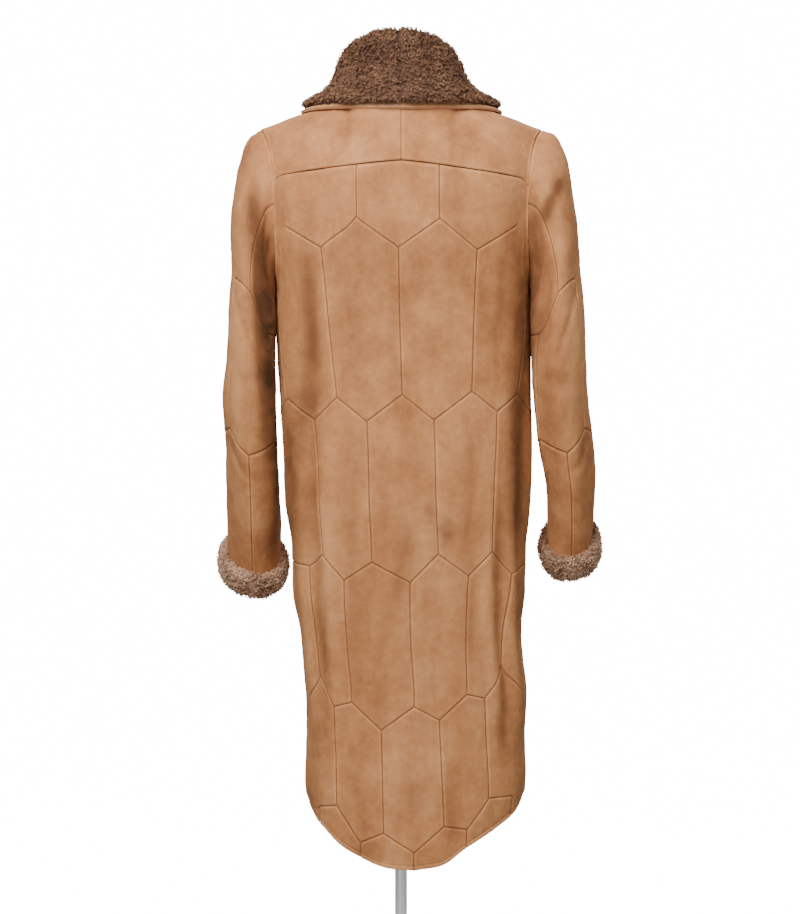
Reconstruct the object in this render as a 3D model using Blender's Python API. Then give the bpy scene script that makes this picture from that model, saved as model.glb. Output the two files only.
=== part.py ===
"""A long patchwork shearling coat, worn on a limbless dress form on a pole and a round base.

Lengths below are in millimetres and become metres when a mesh is made. +Z is up and the floor is z = 0. The
coat's back faces +Y, its front faces -Y, and the wearer's left is +X. The origin is the underside centre of the
base, on the pole's axis.

The body cloth is one smooth surface, the skin. Below CHEST it is a stack of level rings, and above CHEST each
point of the top ring climbs its own column to the shoulder and neck line. A place on the skin is (turn, level):
turn is 0 at the centre back, +1 and -1 at the side seams and +2 and -2 at the centre front, and level is the
height up to CHEST, then the way up a column. The hexagon seams are grooves in the outer points only.
"""

import math

import bmesh
import bpy
import numpy as np
from mathutils import Vector
from mathutils.bvhtree import BVHTree

# Driving dimensions
MM = 0.001
WALL = 6.0  # suede with its short wool inside
SEAM_GAP = 0.4  # between two panels' edges
YOKE_SEAM_PART = 0.45  # how far the yoke's and the back's edges step back from their seam
SEAM_Q_PART = 0.0022  # the same for their corners at the armhole, as a share of its edge
HEAD_PART = 0.8  # between the armhole's edge and the sleeve's head
CHEST = 1300.0  # height where the rings end and the columns start
CLIMB = 180.0  # level units in one whole column
TOP = CHEST + CLIMB
ARMPIT = 1180.0
ARMHOLE_HALF_DEPTH = 64.0
TIP_X, TIP_Z = 211.0, 1408.0  # shoulder tip
NECK_X, NECK_Z = 80.0, 1456.0  # neck point on the shoulder line
NECK_BACK, NECK_FRONT, NECK_DROP = 62.0, 68.0, 70.0
OVERLAP = 30.0  # how far each front passes the centre front
OVERLAP_STEP = 4.3  # the upper front stands out by this much, and the lower one in
OVERLAP_BLEND = 85.0
GROOVE_DEPTH, GROOVE_HALF = 2.0, 7.0
SEAM_DIP = 1.5  # groove at the armhole, yoke and shoulder seams
TIP_BLEND = 0.08  # share of the armhole below the shoulder tip where its dip turns to face down
ZIGZAG_COUNT = 5
EDGE = 5.0  # the lattice column at a panel's side
NECK_COLUMN = {"back": 1.38, "front": 1.57}  # the lattice column that climbs to the neck point
FRONT_NECK_MID = 1.37  # a further front column, which rounds the neckline

# The skin's level rings: half widths to the wearer's left and right, depths, and the rings' squareness
RING_COLUMNS = "z left right back front power"
RINGS = (
    (280, 134, 172, 112, 112, 2.4),
    (360, 138, 180, 113, 113, 2.4),
    (432, 143, 187, 114, 114, 2.4),
    (500, 141, 186, 114, 115, 2.4),
    (567, 143, 189, 114, 116, 2.4),
    (612, 147, 184, 114, 117, 2.4),
    (657, 151, 181, 114, 118, 2.4),
    (702, 160, 186, 114, 118, 2.4),
    (792, 164, 188, 113, 118, 2.4),
    (837, 172, 193, 112, 118, 2.4),
    (927, 176, 196, 110, 118, 2.4),
    (1040, 182, 195, 106, 120, 2.4),
    (1110, 185, 193, 107, 124, 2.45),
    (1180, 188, 193, 111, 128, 2.5),
    (1240, 200, 202, 116, 128, 2.6),
    (1300, 207, 207, 117, 125, 2.6),
)

# Heights of the zigzag seams' points on the odd and even lattice columns of the fronts and at the side seams
ZIGZAGS = ((1277, 1228), (970, 1006), (760, 728), (508, 542), (354, 324))
# The back's zigzags at lattice columns -4 to 4, from the wearer's right to the left: how far each point lies
# to the left of the centre, and its height
BACK_LATTICE = (-5, -4, -3, -2, -1, 0, 1, 2, 3, 4, 5)
BACK_WAYS = (
    (-268, -232, -180, -113, -57, 5, 69, 122, 180, 232, 268),
    (-226, -178, -138, -99, -40, 6, 60, 104, 142, 196, 243),
    (-215, -163, -127, -89, -43, -1, 56, 99, 131, 162, 207),
    (-195, -142, -103, -75, -34, 4, 52, 99, 127, 156, 197),
    (-205, -158, -113, -78, -43, 1, 47, 82, 121, 158, 205),
)
BACK_HEIGHTS = (
    (1277, 1236, 1260, 1222, 1268, 1225, 1271, 1225, 1258, 1236, 1277),
    (970, 1010, 982, 1012, 969, 1007, 967, 1003, 970, 1002, 970),
    (760, 740, 774, 738, 770, 728, 758, 731, 769, 752, 760),
    (508, 604, 556, 562, 524, 544, 509, 550, 543, 588, 508),
    (354, 409, 407, 361, 366, 327, 356, 342, 396, 393, 354),
)
ZIGZAG_LEAN = 0.72  # cosine of the zigzags' slope
SIDE_COLUMN = 3  # lattice column by the side seam, plain in the top row
FRONT_PITCH = 50.0
YOKE_Z = 1355.0  # yoke seam at the centre back
YOKE_DROP = {1: 31.0, -1: 37.0}  # its fall towards the left and the right armhole

# The hem's height by the share of the way from the centre to the side
HEM_COLUMNS = "share left right front"
HEM = (
    (0.0, 301, 301, 330),
    (0.2, 305, 311, 332),
    (0.35, 317, 335, 338),
    (0.5, 336, 354, 350),
    (0.65, 362, 373, 368),
    (0.8, 383, 392, 388),
    (0.9, 402, 408, 405),
    (1.0, 424, 424, 424),
)

# Long soft folds: across at the upper and lower end (from the centre line, wearer's left positive), heights,
# half width and height over the skin (a trough is negative)
FOLD_COLUMNS = "s_top s_low z_top z_low half rise"
BACK_FOLDS = (
    (150, 132, 1215, 985, 15, -6),
    (122, 128, 985, 470, 15, 6),
    (150, 152, 960, 520, 13, -6),
    (180, 178, 800, 500, 13, 4),
    (-196, -192, 1010, 740, 18, -7),
    (-118, -122, 800, 450, 12, 4),
    (-142, -145, 840, 440, 12, -6),
    (-168, -168, 800, 470, 12, 5),
    (60, 72, 1200, 1040, 20, -3),
    (-95, -80, 1230, 1060, 18, -3),
    (20, 30, 560, 380, 24, 3),
    (-60, -62, 470, 320, 14, -5),
)
FRONT_FOLDS = (
    (120, 150, 1230, 1010, 18, -6),
    (-125, -155, 1240, 990, 18, -6),
    (175, 168, 960, 520, 16, 5),
    (140, 138, 900, 470, 14, -6),
    (-135, -132, 930, 480, 15, -6),
    (-170, -175, 880, 500, 15, 6),
    (200, 204, 820, 560, 12, -4),
    (-80, -88, 620, 400, 16, 4),
    (90, 98, 600, 400, 15, -4),
)

# Sleeves: rings through an outer and an inner point, their middle's y, half depth and lean of the ring's plane
SLEEVE_COLUMNS = "station out_x out_z in_x in_z mid_y depth lean"
SLEEVES = {
    "left": (
        (0, 211, 1408, 187.5, 1180, 0, 64, 0),
        (1, 231, 1395, 189.5, 1172, 0, 66, 0),
        (2, 243, 1361, 190.5, 1160, 0, 70, 2),
        (3, 251, 1316, 191, 1142, -1, 75, 3),
        (4, 257, 1262, 190.5, 1120, -2, 79, 4),
        (5, 256, 1200, 190.5, 1090, -4, 80, 6),
        (6, 260.5, 1135, 189.5, 1055, -6, 79, 8),
        (7, 263, 1065, 188, 1015, -10, 76, 11),
        (8, 269, 1000, 187, 970, -17, 73, 15),
        (9, 266, 935, 185, 915, -28, 69, 20),
        (10, 266, 890, 183, 875, -40, 66, 25),
        (11, 265, 835, 182, 822, -58, 61, 30),
        (12, 263, 775, 183, 763, -80, 57, 33),
    ),
    "right": (
        (0, 211, 1408, 192, 1180, 0, 64, 0),
        (1, 234, 1398, 194, 1172, 0, 66, 0),
        (2, 250, 1362, 195.5, 1160, 0, 70, 2),
        (3, 258, 1316, 196.5, 1142, -1, 75, 3),
        (4, 267, 1262, 197, 1120, -2, 79, 4),
        (5, 270, 1200, 197.5, 1090, -3, 80, 6),
        (6, 276, 1135, 198, 1055, -4, 79, 8),
        (7, 280, 1065, 199, 1015, -7, 76, 11),
        (8, 283, 1000, 202, 970, -13, 73, 15),
        (9, 290, 935, 208, 925, -22, 69, 20),
        (10, 294, 890, 216, 888, -32, 66, 25),
        (11, 293, 842, 221, 839, -46, 61, 30),
        (12, 290, 797, 222, 791, -62, 57, 33),
    ),
}
SLEEVE_BLEND = 4.0  # stations over which the armhole's outline becomes the plain ring
SLEEVE_LATTICE = 8  # lattice columns round a sleeve
SLEEVE_ZIGZAGS = ((5.0, 4.6), (8.4, 8.75))  # stations of the odd and even columns
SLEEVE_ZIGZAG_LEAN = 0.8  # cosine of their slope
SLEEVE_PITCH = 46.0  # between lattice columns
SLEEVE_STATION = 64.0  # length of one station
SLEEVE_BESIDE, SLEEVE_REACH = 0.15, 0.11  # rows that hold a groove: lattice columns and stations from a seam
SLEEVE_END = 12.0
SLEEVE_SQUARENESS = 2.15
# Sleeve creases: share round the sleeve and station at each end, half width and rise
SLEEVE_FOLD_COLUMNS = "g_top g_low v_top v_low half rise"
SLEEVE_FOLDS = (
    (0.42, 0.36, 1.5, 11.0, 0.045, 5),
    (0.30, 0.33, 1.6, 6.0, 0.05, -4),
    (0.14, 0.16, 6.6, 11.4, 0.045, -3),
    (0.72, 0.66, 4.0, 10.0, 0.055, 4),
    (0.84, 0.80, 5.0, 9.6, 0.05, -4),
)

# Collar by the angle round the neck from the centre back: top of the wool, the edge's place on the skin (share
# of the shoulder's half width, and way up the back column, or 2 less the way up the front one), the thickness of
# hide and wool, and how far the fall rounds over the chest instead of sloping in
COLLAR_COLUMNS = "angle top share climb thick round"
COLLAR = (
    (0, 1556, 0.0, 0.635, 16, 0.2),
    (25, 1552, 0.21, 0.63, 16, 0.2),
    (45, 1542, 0.40, 0.655, 15, 0.15),
    (65, 1528, 0.58, 0.77, 13, 0.1),
    (80, 1515, 0.67, 0.91, 11, 0.05),
    (90, 1505, 0.71, 1.0, 10.5, 0.1),
    (102, 1490, 0.73, 1.10, 11, 0.4),
    (118, 1468, 0.66, 1.28, 12, 0.8),
    (135, 1448, 0.53, 1.45, 12, 1.0),
    (150, 1436, 0.40, 1.60, 12, 1.0),
    (160, 1430, 0.30, 1.70, 12, 1.0),
)
COLLAR_END, COLLAR_SECTIONS = 155.0, 39
COLLAR_SEAT = 0.45  # above the neck edge
COLLAR_CLEAR = 2.8  # least height of the fall over the body
COLLAR_BESIDE = 6.0  # how far to each side of a section the body is looked at
COLLAR_STAND_REACH = 8.0  # how far in from the neck edge the body is kept clear
COLLAR_FOLD = 3.0  # radius inside the fold
COLLAR_SWELL = np.array([0.0, 0.0, 1.5, 5.0, 6.5])  # how much thicker the wool gets down the fall
COLLAR_LEAN = 0.04  # how much the collar leans to the wearer's left as it rises
BINDING_WIDTH, BINDING_THICK = 15.0, 5.0

CUFF_SIDES = 24
# Cuff section: out from the sleeve's outer surface, and along from its end
CUFF_SECTION = (
    (-5.6, 0.4),
    (-8.0, 12.0),
    (-8.0, 32.0),
    (-3.0, 43.0),
    (5.0, 44.0),
    (12.0, 34.0),
    (13.5, 20.0),
    (12.0, 7.0),
    (8.0, 0.4),
)

BUTTON_SIDES = 14
BUTTON_PROFILE = ((12.0, 0.0), (14.0, 1.5), (14.0, 3.4), (11.5, 5.0))  # radius and height over the seat
BUTTON_HEIGHTS = (1290.0, 1160.0, 1030.0, 900.0, 770.0)

# Dress form, in the same terms as the skin
FORM_RINGS = (
    (800, 138, 138, 90, 92, 2.1),
    (880, 150, 150, 95, 95, 2.1),
    (960, 153, 153, 93, 94, 2.1),
    (1060, 130, 130, 82, 88, 2.1),
    (1130, 140, 140, 85, 98, 2.1),
    (1200, 152, 152, 90, 110, 2.2),
    (1260, 166, 166, 95, 100, 2.3),
    (1300, 174, 174, 96, 85, 2.4),
)
FORM_BOTTOM = 800.0
FORM_LEVELS = (FORM_BOTTOM, 880, 960, 1020, 1070, 1130, 1200, 1255)  # its rows up to the chest
FORM_CLIMBS = (0.0, 0.22, 0.44, 0.64, 0.8, 0.92)  # and from there, shares of the climb to the shoulder
FORM_TIP_X = 186.0
FORM_DROP = 8.3  # below the coat's shoulder line, which leaves about half a millimetre under the cloth
FORM_NECK_X, FORM_NECK_BACK, FORM_NECK_FRONT, FORM_NECK_DROP = 68.0, 50.0, 46.0, 92.0
FORM_SLOPE = 1.65  # how much steeper than the coat's its front falls from the neck
FORM_NECK_SHARES = (0.0, 0.4, 0.7, 0.9, 1.0)  # its columns: shares of the neck's half width
FORM_SHOULDER_SHARES = (0.6, 0.78, 0.92, 1.0)  # and of the shoulder's
FORM_NECK_STEP = 7.0  # rise of the neck's foot
FORM_NECK = ((0.0, 0.88), (0.5, 0.79), (1.0, 0.76))  # share of the way up to the cap, and size against the foot
NECK_CAP_Z, NECK_CAP_THICK = 1500.0, 10.0
POLE_RADIUS = 9.3
BASE_RADIUS, BASE_EDGE, BASE_CROWN, BOSS_RADIUS, BOSS_TOP = 170.0, 8.0, 14.0, 17.0, 42.0

SUEDE = ("suede", (0.55, 0.30, 0.16, 1.0), 0.9, 0.0)
PALE_SUEDE = ("suede edge", (0.66, 0.44, 0.29, 1.0), 0.9, 0.0)
WOOL = ("wool", (0.22, 0.12, 0.07, 1.0), 0.95, 0.0)
BUTTON = ("button", (0.09, 0.05, 0.03, 1.0), 0.5, 0.0)
FORM_COVER = ("form cover", (0.72, 0.68, 0.60, 1.0), 0.9, 0.0)
STEEL = ("brushed steel", (0.55, 0.55, 0.56, 1.0), 0.3, 1.0)


def smooth(x):
    """0 below 0, 1 above 1 and an even slope between."""
    x = np.clip(x, 0.0, 1.0)
    return x * x * (3.0 - 2.0 * x)


def unit(v):
    """Vectors made one unit long."""
    return v / np.maximum(np.linalg.norm(v, axis=-1, keepdims=True), 1e-9)


def stack(*parts):
    """Coordinates joined into points."""
    return np.stack(np.broadcast_arrays(*parts), axis=-1)


class Table:
    """Rows of named columns, read as smooth curves of the first column."""

    def __init__(self, columns, rows):
        names = columns.split()
        self.data = dict(zip(names, np.array(rows, float).T))
        self.key = self.data[names[0]]
        if self.key[0] > self.key[-1]:
            raise ValueError("a table's first column rises")

    def at(self, name, x):
        keys, values = self.key, self.data[name]
        slopes = np.gradient(values, keys)
        x = np.clip(x, keys[0], keys[-1])
        i = np.clip(np.searchsorted(keys, x, side="right") - 1, 0, len(keys) - 2)
        step = keys[i + 1] - keys[i]
        t = (x - keys[i]) / step
        rest = 1.0 - t
        start = rest * rest * ((1.0 + 2.0 * t) * values[i] + t * step * slopes[i])
        return start + t * t * ((3.0 - 2.0 * t) * values[i + 1] - rest * step * slopes[i + 1])


class Torso:
    """The coat's skin, or the form's: rings up to CHEST and columns above it."""

    SHARES = np.linspace(0.0, 1.0, 81)

    def __init__(self, rows, tip, neck, slope=1.0):
        self.rings = Table(RING_COLUMNS, rows)
        self.slope = slope  # over 1, the columns climb less steeply
        self.tip_x, self.tip_z = tip
        self.neck_x, self.neck_z, self.neck_back, self.neck_front, self.neck_drop = neck
        self.heights = np.linspace(self.rings.key[0], CHEST, 70)
        self.angles, self.quarter = {}, {}
        for half in ("back", "front"):
            made = [self.measure(half, z) for z in self.heights]
            self.angles[half] = np.array([angles for angles, _ in made])
            self.quarter[half] = np.array([length for _, length in made])

    def shape(self, half, z):
        left, right = self.rings.at("left", z), self.rings.at("right", z)
        return 0.5 * (left - right), 0.5 * (left + right), self.rings.at(half, z), self.rings.at("power", z)

    def measure(self, half, z):
        """Angles at even shares of the way from the centre line to the side, and the way's length."""
        _, wide, deep, power = self.shape(half, z)
        angle = np.linspace(math.pi / 2, 0.0, 241)
        x, y = wide * np.cos(angle) ** (2 / power), deep * np.sin(angle) ** (2 / power)
        x[0] = 0.0
        way = np.concatenate([[0.0], np.cumsum(np.hypot(np.diff(x), np.diff(y)))])
        return np.interp(self.SHARES, way / way[-1], angle), way[-1]

    def quarter_length(self, half, z):
        return np.interp(z, self.heights, self.quarter[half])

    def angle_at(self, half, share, z):
        row = np.clip((z - self.heights[0]) / (self.heights[1] - self.heights[0]), 0, len(self.heights) - 1.001)
        col = np.clip(share, 0, 1) * (len(self.SHARES) - 1.001)
        i, j = row.astype(int), col.astype(int)
        fi, fj = row - i, col - j
        grid = self.angles[half]
        low = grid[i, j] * (1 - fj) + grid[i, j + 1] * fj
        high = grid[i + 1, j] * (1 - fj) + grid[i + 1, j + 1] * fj
        return low * (1 - fi) + high * fi

    def share_at_x(self, half, x_share):
        """The share of the way to the side at which the top ring is this share of its half width out."""
        _, _, _, power = self.shape(half, CHEST)
        angles = self.angles[half][-1]
        return np.interp(x_share, np.cos(angles) ** (2 / power), self.SHARES)

    def column_top(self, half, across):
        """The shoulder and neck line, at this share of the shoulder's half width."""
        neck_share = self.neck_x / self.tip_x
        on_neck = across < neck_share
        r = np.clip(across / neck_share, 0, 1)
        arc = np.sqrt(1 - r * r)
        along = np.clip((across - neck_share) / (1 - neck_share), 0, 1)
        drop = self.neck_drop if half == "front" else 0.0
        depth = -self.neck_front if half == "front" else self.neck_back
        y = np.where(on_neck, depth * arc, 0.0)
        shoulder_z = self.neck_z + (self.tip_z - self.neck_z) * along
        z = np.where(on_neck, self.neck_z - drop * arc**2, shoulder_z)
        return self.tip_x * across, y, z

    def half_points(self, half, share, side, level):
        z = np.minimum(level, CHEST)
        middle, wide, deep, power = self.shape(half, z)
        angle = self.angle_at(half, share, z)
        across = np.clip(np.cos(angle), 0, 1) ** (2 / power)
        x = middle + side * wide * across
        y = deep * np.sin(angle) ** (2 / power) * (1 if half == "back" else -1)
        t = np.clip((level - CHEST) / CLIMB, 0, 1)
        top_x, top_y, top_z = self.column_top(half, across)
        bend = 1 - np.cos(0.5 * math.pi * t)
        rise = np.sin(0.5 * math.pi * t) ** self.slope
        return stack(x + (side * top_x - x) * bend, y + (top_y - y) * bend, z + (top_z - z) * rise)

    def point(self, turn, level):
        turn, level = np.broadcast_arrays(np.asarray(turn, float), np.asarray(level, float))
        turn = (turn + 2.0) % 4.0 - 2.0
        side = np.where(turn < 0, -1.0, 1.0)
        away = np.abs(turn)
        back = self.half_points("back", np.minimum(away, 1.0), side, level)
        front = self.half_points("front", np.minimum(2.0 - away, 1.0), side, level)
        return np.where((away <= 1.0)[..., None], back, front)

    def normal(self, turn, level):
        """Outward, from two short steps on the surface."""
        low, high = np.minimum(level, TOP - 0.6) - 0.4, np.minimum(level, TOP - 0.6) + 0.4
        up = self.point(turn, high) - self.point(turn, low)
        away = np.abs((np.asarray(turn, float) + 2.0) % 4.0 - 2.0)
        inside = np.where(away <= 1.0, np.clip(away, 0, 0.997), np.clip(away, 1.003, 2.0))
        near = np.where(np.asarray(turn) % 4.0 < 2.0, 1.0, -1.0) * inside
        span = self.point(near + 0.002, level) - self.point(near - 0.002, level)
        return unit(np.cross(up, span))


skin = Torso(RINGS, (TIP_X, TIP_Z), (NECK_X, NECK_Z, NECK_BACK, NECK_FRONT, NECK_DROP))


class Folds:
    """Soft ridges and troughs, each along a line, fading at its ends."""

    def __init__(self, columns, rows):
        self.rows = [dict(zip(columns.split(), row)) for row in rows]

    def rise(self, across, along, names):
        total = np.zeros(np.broadcast(across, along).shape)
        for row in self.rows:
            top, low = row[names[1] + "_top"], row[names[1] + "_low"]
            t = np.clip((along - top) / (low - top), 0, 1)
            line = row[names[0] + "_top"] + (row[names[0] + "_low"] - row[names[0] + "_top"]) * t
            off = (across - line) / row["half"]
            total = total + row["rise"] * np.sin(math.pi * t) ** 0.7 * np.exp(-off * off)
        return total


back_folds = Folds(FOLD_COLUMNS, BACK_FOLDS)
front_folds = Folds(FOLD_COLUMNS, FRONT_FOLDS)


def fold_rise(turn, level):
    """How far the folds move the skin out. They fade before the side seams and above the chest."""
    turn = (np.asarray(turn, float) + 2.0) % 4.0 - 2.0
    side = np.where(turn < 0, -1.0, 1.0)
    away = np.abs(turn)
    z = np.minimum(level, CHEST)
    back_way = skin.quarter_length("back", z)
    front_way = skin.quarter_length("front", z)
    back_s, front_s = away * back_way, (2.0 - away) * front_way
    back = back_folds.rise(side * back_s, level, ("s", "z")) * smooth((back_way - back_s) / 40)
    front = front_folds.rise(side * front_s, level, ("s", "z")) * smooth((front_way - front_s) / 40)
    return np.where(away <= 1.0, back, front) * smooth((CHEST + 40 - level) / 60)


def overlap_rise(turn, level, over):
    """The step of the closed front: over is +1 for the upper front, -1 for the lower one and 0 elsewhere."""
    past = (2.0 - np.abs(turn)) * skin.quarter_length("front", np.minimum(level, CHEST))
    return over * OVERLAP_STEP * (1 - smooth((past - OVERLAP) / OVERLAP_BLEND))


def zigzag(k, column, side):
    """Height of zigzag k (1 at the top) at a lattice column, whole or not, of a back side or a front (0)."""
    if side:
        return np.interp(side * np.asarray(column, float), BACK_LATTICE, BACK_HEIGHTS[k - 1])
    odd, even = ZIGZAGS[k - 1]
    off = np.abs(np.asarray(column, float)) % 2.0
    return even + (odd - even) * (1.0 - np.abs(off - 1.0))


def column_way(column, z, side):
    """Distance outwards from the centre line to a lattice column, of a back side or a front (0)."""
    column = np.asarray(column, float)
    if not side:
        return column * FRONT_PITCH
    ways = [side * np.interp(side * column, BACK_LATTICE, row) for row in BACK_WAYS]
    heights = [zigzag(k, column, side) for k in range(1, ZIGZAG_COUNT + 1)]
    way = ways[0]
    for k in range(1, ZIGZAG_COUNT):
        share = np.clip((heights[k - 1] - z) / (heights[k - 1] - heights[k]), 0, 1)
        way = way + (ways[k] - ways[k - 1]) * share
    return way


def seam_groove(column, z, side, top, bottom):
    """Depth of the hexagon seams' groove at a lattice column and height."""
    bounds = [top] + [zigzag(k, column, side) for k in range(1, ZIGZAG_COUNT + 1)]
    near = np.full(np.broadcast(column, z).shape, 1e3)
    for k in range(1, ZIGZAG_COUNT + 1):
        live = bounds[k] > bottom + 12
        near = np.where(live, np.minimum(near, np.abs(z - bounds[k]) * ZIGZAG_LEAN), near)
    whole = np.round(column)
    level_of = sum((z < bounds[k]).astype(int) for k in range(1, ZIGZAG_COUNT + 1)) + 1
    has_seam = (np.abs(whole).astype(int) + level_of) % 2 == 0
    has_seam = has_seam & ((level_of > 1) | (np.abs(whole) != SIDE_COLUMN))
    beside = np.abs(column_way(column, z, side) - column_way(whole, z, side))
    near = np.where(has_seam, np.minimum(near, beside), near)
    edge = np.minimum(np.abs(z - top), np.abs(z - bottom) + 3)
    near = np.minimum(near, edge)
    return -GROOVE_DEPTH * np.clip(1 - near / GROOVE_HALF, 0, 1) ** 1.5


# Mesh making: skins of points, bridged between rows and closed by rims


class Solid:
    """A closed mesh gathered row by row."""

    def __init__(self):
        self.points, self.faces = [], []

    def row(self, points):
        start = len(self.points)
        self.points.extend(np.asarray(points, float).tolist())
        return list(range(start, len(self.points)))

    def face(self, *corners):
        kept = list(dict.fromkeys(corners))
        if len(kept) > 2:
            self.faces.append(kept)

    def quads(self, a, b, closed=False):
        """Quads between two rows of as many points."""
        count = len(a)
        for i in range(count if closed else count - 1):
            j = (i + 1) % count
            self.face(a[i], a[j], b[j], b[i])

    def zip(self, a, b, way_a, way_b, closed=False):
        """Triangles between two rows of any counts, by how far along each point is (0 to 1)."""
        if closed:
            a, b = a + a[:1], b + b[:1]
            way_a, way_b = list(way_a) + [1.0 + way_a[0]], list(way_b) + [1.0 + way_b[0]]
        i = j = 0
        while i < len(a) - 1 or j < len(b) - 1:
            step_a = i < len(a) - 1 and (j == len(b) - 1 or way_a[i + 1] <= way_b[j + 1] + 1e-9)
            if step_a:
                self.face(a[i], a[i + 1], b[j])
                i += 1
            else:
                self.face(a[i], b[j + 1], b[j])
                j += 1

    def make(self, name, material):
        mesh = bpy.data.meshes.new(name)
        mesh.from_pydata([[c * MM for c in p] for p in self.points], [], self.faces)
        body = bmesh.new()
        body.from_mesh(mesh)
        bmesh.ops.remove_doubles(body, verts=body.verts, dist=1e-6)
        bmesh.ops.triangulate(body, faces=body.faces)
        bmesh.ops.recalc_face_normals(body, faces=body.faces)
        if body.calc_volume(signed=True) < 0:
            bmesh.ops.reverse_faces(body, faces=body.faces)
        body.to_mesh(mesh)
        body.free()
        mesh.shade_smooth()
        mesh.set_sharp_from_angle(angle=math.radians(40))
        mesh.materials.append(material_of(material))
        obj = bpy.data.objects.new(name, mesh)
        bpy.context.scene.collection.objects.link(obj)
        return obj


def material_of(look):
    name, colour, roughness, metallic = look
    if name in bpy.data.materials:
        return bpy.data.materials[name]
    material = bpy.data.materials.new(name)
    material.use_nodes = True
    shader = material.node_tree.nodes["Principled BSDF"]
    shader.inputs["Base Color"].default_value = colour
    shader.inputs["Roughness"].default_value = roughness
    shader.inputs["Metallic"].default_value = metallic
    return material


def walled_patch(name, outer, inner, rows, cols, material, side=1):
    """A wall from a grid of outer points and a coarser one of inner points, whose rows and columns are some of
    the outer ones: rows and cols list which. On the right side the columns are turned round, so that rims that
    face each other across a seam are split into triangles alike."""
    if side < 0:
        outer, inner = outer[:, ::-1], inner[:, ::-1]
        cols = [outer.shape[1] - 1 - c for c in cols[::-1]]
    solid = Solid()
    out = [solid.row(line) for line in outer]
    ins = [solid.row(line) for line in inner]
    for a, b in zip(out, out[1:]):
        solid.quads(a, b)
    for a, b in zip(ins, ins[1:]):
        solid.quads(a, b)
    for r, inner_row in ((0, ins[0]), (-1, ins[-1])):
        solid.zip(out[r], inner_row, range(len(out[r])), cols)
    for c in (0, -1):
        solid.zip([line[c] for line in out], [line[c] for line in ins], range(len(out)), rows)
    return solid.make(name, material)


# Armholes


def armhole_places(half, count_levels):
    """(share, level) down the armhole's edge from levels in order, for one half of the body."""
    shares, levels = [], []
    for level in count_levels:
        if level < CHEST:
            drop = (CHEST - level) / (CHEST - ARMPIT)
            y = ARMHOLE_HALF_DEPTH * math.sqrt(max(0.0, 1 - drop * drop))
            shares.append(share_at_y(half, y, level))
        else:
            start = share_at_y(half, ARMHOLE_HALF_DEPTH, CHEST)
            t = (level - CHEST) / CLIMB
            shares.append(start + (1 - start) * t**2.5)
        levels.append(level)
    return np.array(shares), np.array(levels)


def share_at_y(half, y, z):
    """Share of the way to the side at which the ring is y away from the middle plane."""
    _, _, deep, power = skin.shape(half, z)
    angle = math.asin(min(1.0, (y / float(deep)) ** (float(power) / 2)))
    z = np.array([z], float)
    angles = np.array([float(skin.angle_at(half, np.array([s]), z)[0]) for s in Torso.SHARES])
    return float(np.interp(angle, angles[::-1], Torso.SHARES[::-1]))


def armhole_level(q):
    """Levels along the armhole's edge, from the armpit (0) to the shoulder tip (1), evenly spaced on it."""
    low = 0.5 * math.pi * np.linspace(0, 1, 60)
    places = [(CHEST - (CHEST - ARMPIT) * math.cos(a), ARMHOLE_HALF_DEPTH * math.sin(a)) for a in low]
    places += [
        (CHEST + (TIP_Z - CHEST) * math.sin(a), ARMHOLE_HALF_DEPTH * math.cos(a)) for a in low[1:]
    ]
    levels = [CHEST - (CHEST - ARMPIT) * math.cos(a) for a in low]
    levels += [CHEST + CLIMB * a / (0.5 * math.pi) for a in low[1:]]
    places = np.array(places)
    way = np.concatenate([[0.0], np.cumsum(np.linalg.norm(np.diff(places, axis=0), axis=1))])
    return np.interp(q, way / way[-1], levels)


def armhole_inner(points):
    """Inner points of the armhole's edge, in towards the middle of the opening."""
    middle = 0.5 * (TIP_Z + ARMPIT)
    half = 0.5 * (TIP_Z - ARMPIT)
    towards = stack(
        np.zeros(len(points)),
        -points[:, 1] / ARMHOLE_HALF_DEPTH**2,
        -(points[:, 2] - middle) / half**2,
    )
    return points + unit(towards) * WALL * 1.15


def armhole_edge(half, side, q):
    """Outer and inner points of the armhole's edge at these shares of the way from armpit to shoulder tip."""
    q = np.asarray(q, float)
    shares, levels = armhole_places(half, armhole_level(q))
    turn = side * (shares if half == "back" else 2.0 - shares)
    on_slope = smooth((1 - q) / TIP_BLEND)[:, None]
    dip = skin.normal(turn, levels) * on_slope + np.array([0.0, 0.0, 1.0]) * (1 - on_slope)
    outer = skin.point(turn, levels) - unit(dip) * SEAM_DIP
    return outer, armhole_inner(outer)


# Body panels, on lattice columns (0 at the centre line, EDGE at the panel's side) and rows between the zigzags

BESIDE = GROOVE_HALF / FRONT_PITCH
ANCHOR = SIDE_COLUMN + BESIDE
ARMPIT_ROW = (ZIGZAGS[0][0] - ARMPIT) / (ZIGZAGS[0][0] - ZIGZAGS[1][0])
LAST_LINE = ZIGZAG_COUNT + 1
hem = Table(HEM_COLUMNS, HEM)


def lattice_columns(half, first):
    """Columns from the centre line out, with one each side of each seam."""
    columns = list(first)
    for whole in range(1, 5):
        columns += [whole - BESIDE, whole, whole + BESIDE]
        columns += [FRONT_NECK_MID] if whole == 1 and half == "front" else []
        columns += [NECK_COLUMN[half] if whole == 1 else (whole + 0.5 if whole < 4 else 4.62)]
    return columns + [EDGE]


def coarse_columns(columns):
    """The places in a list of columns that the inner skin keeps."""
    beside = [whole + off for whole in range(0, 5) for off in (-BESIDE, BESIDE)]
    return [i for i, c in enumerate(columns) if not any(abs(c - b) < 1e-6 for b in beside)]


def rows_between(k, shares):
    return [(k, share, 0.0) for share in shares]


def rows_at(k):
    return [(k, 0.0, GROOVE_HALF), (k, 0.0, 0.0), (k, 0.0, -GROOVE_HALF)]


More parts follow.
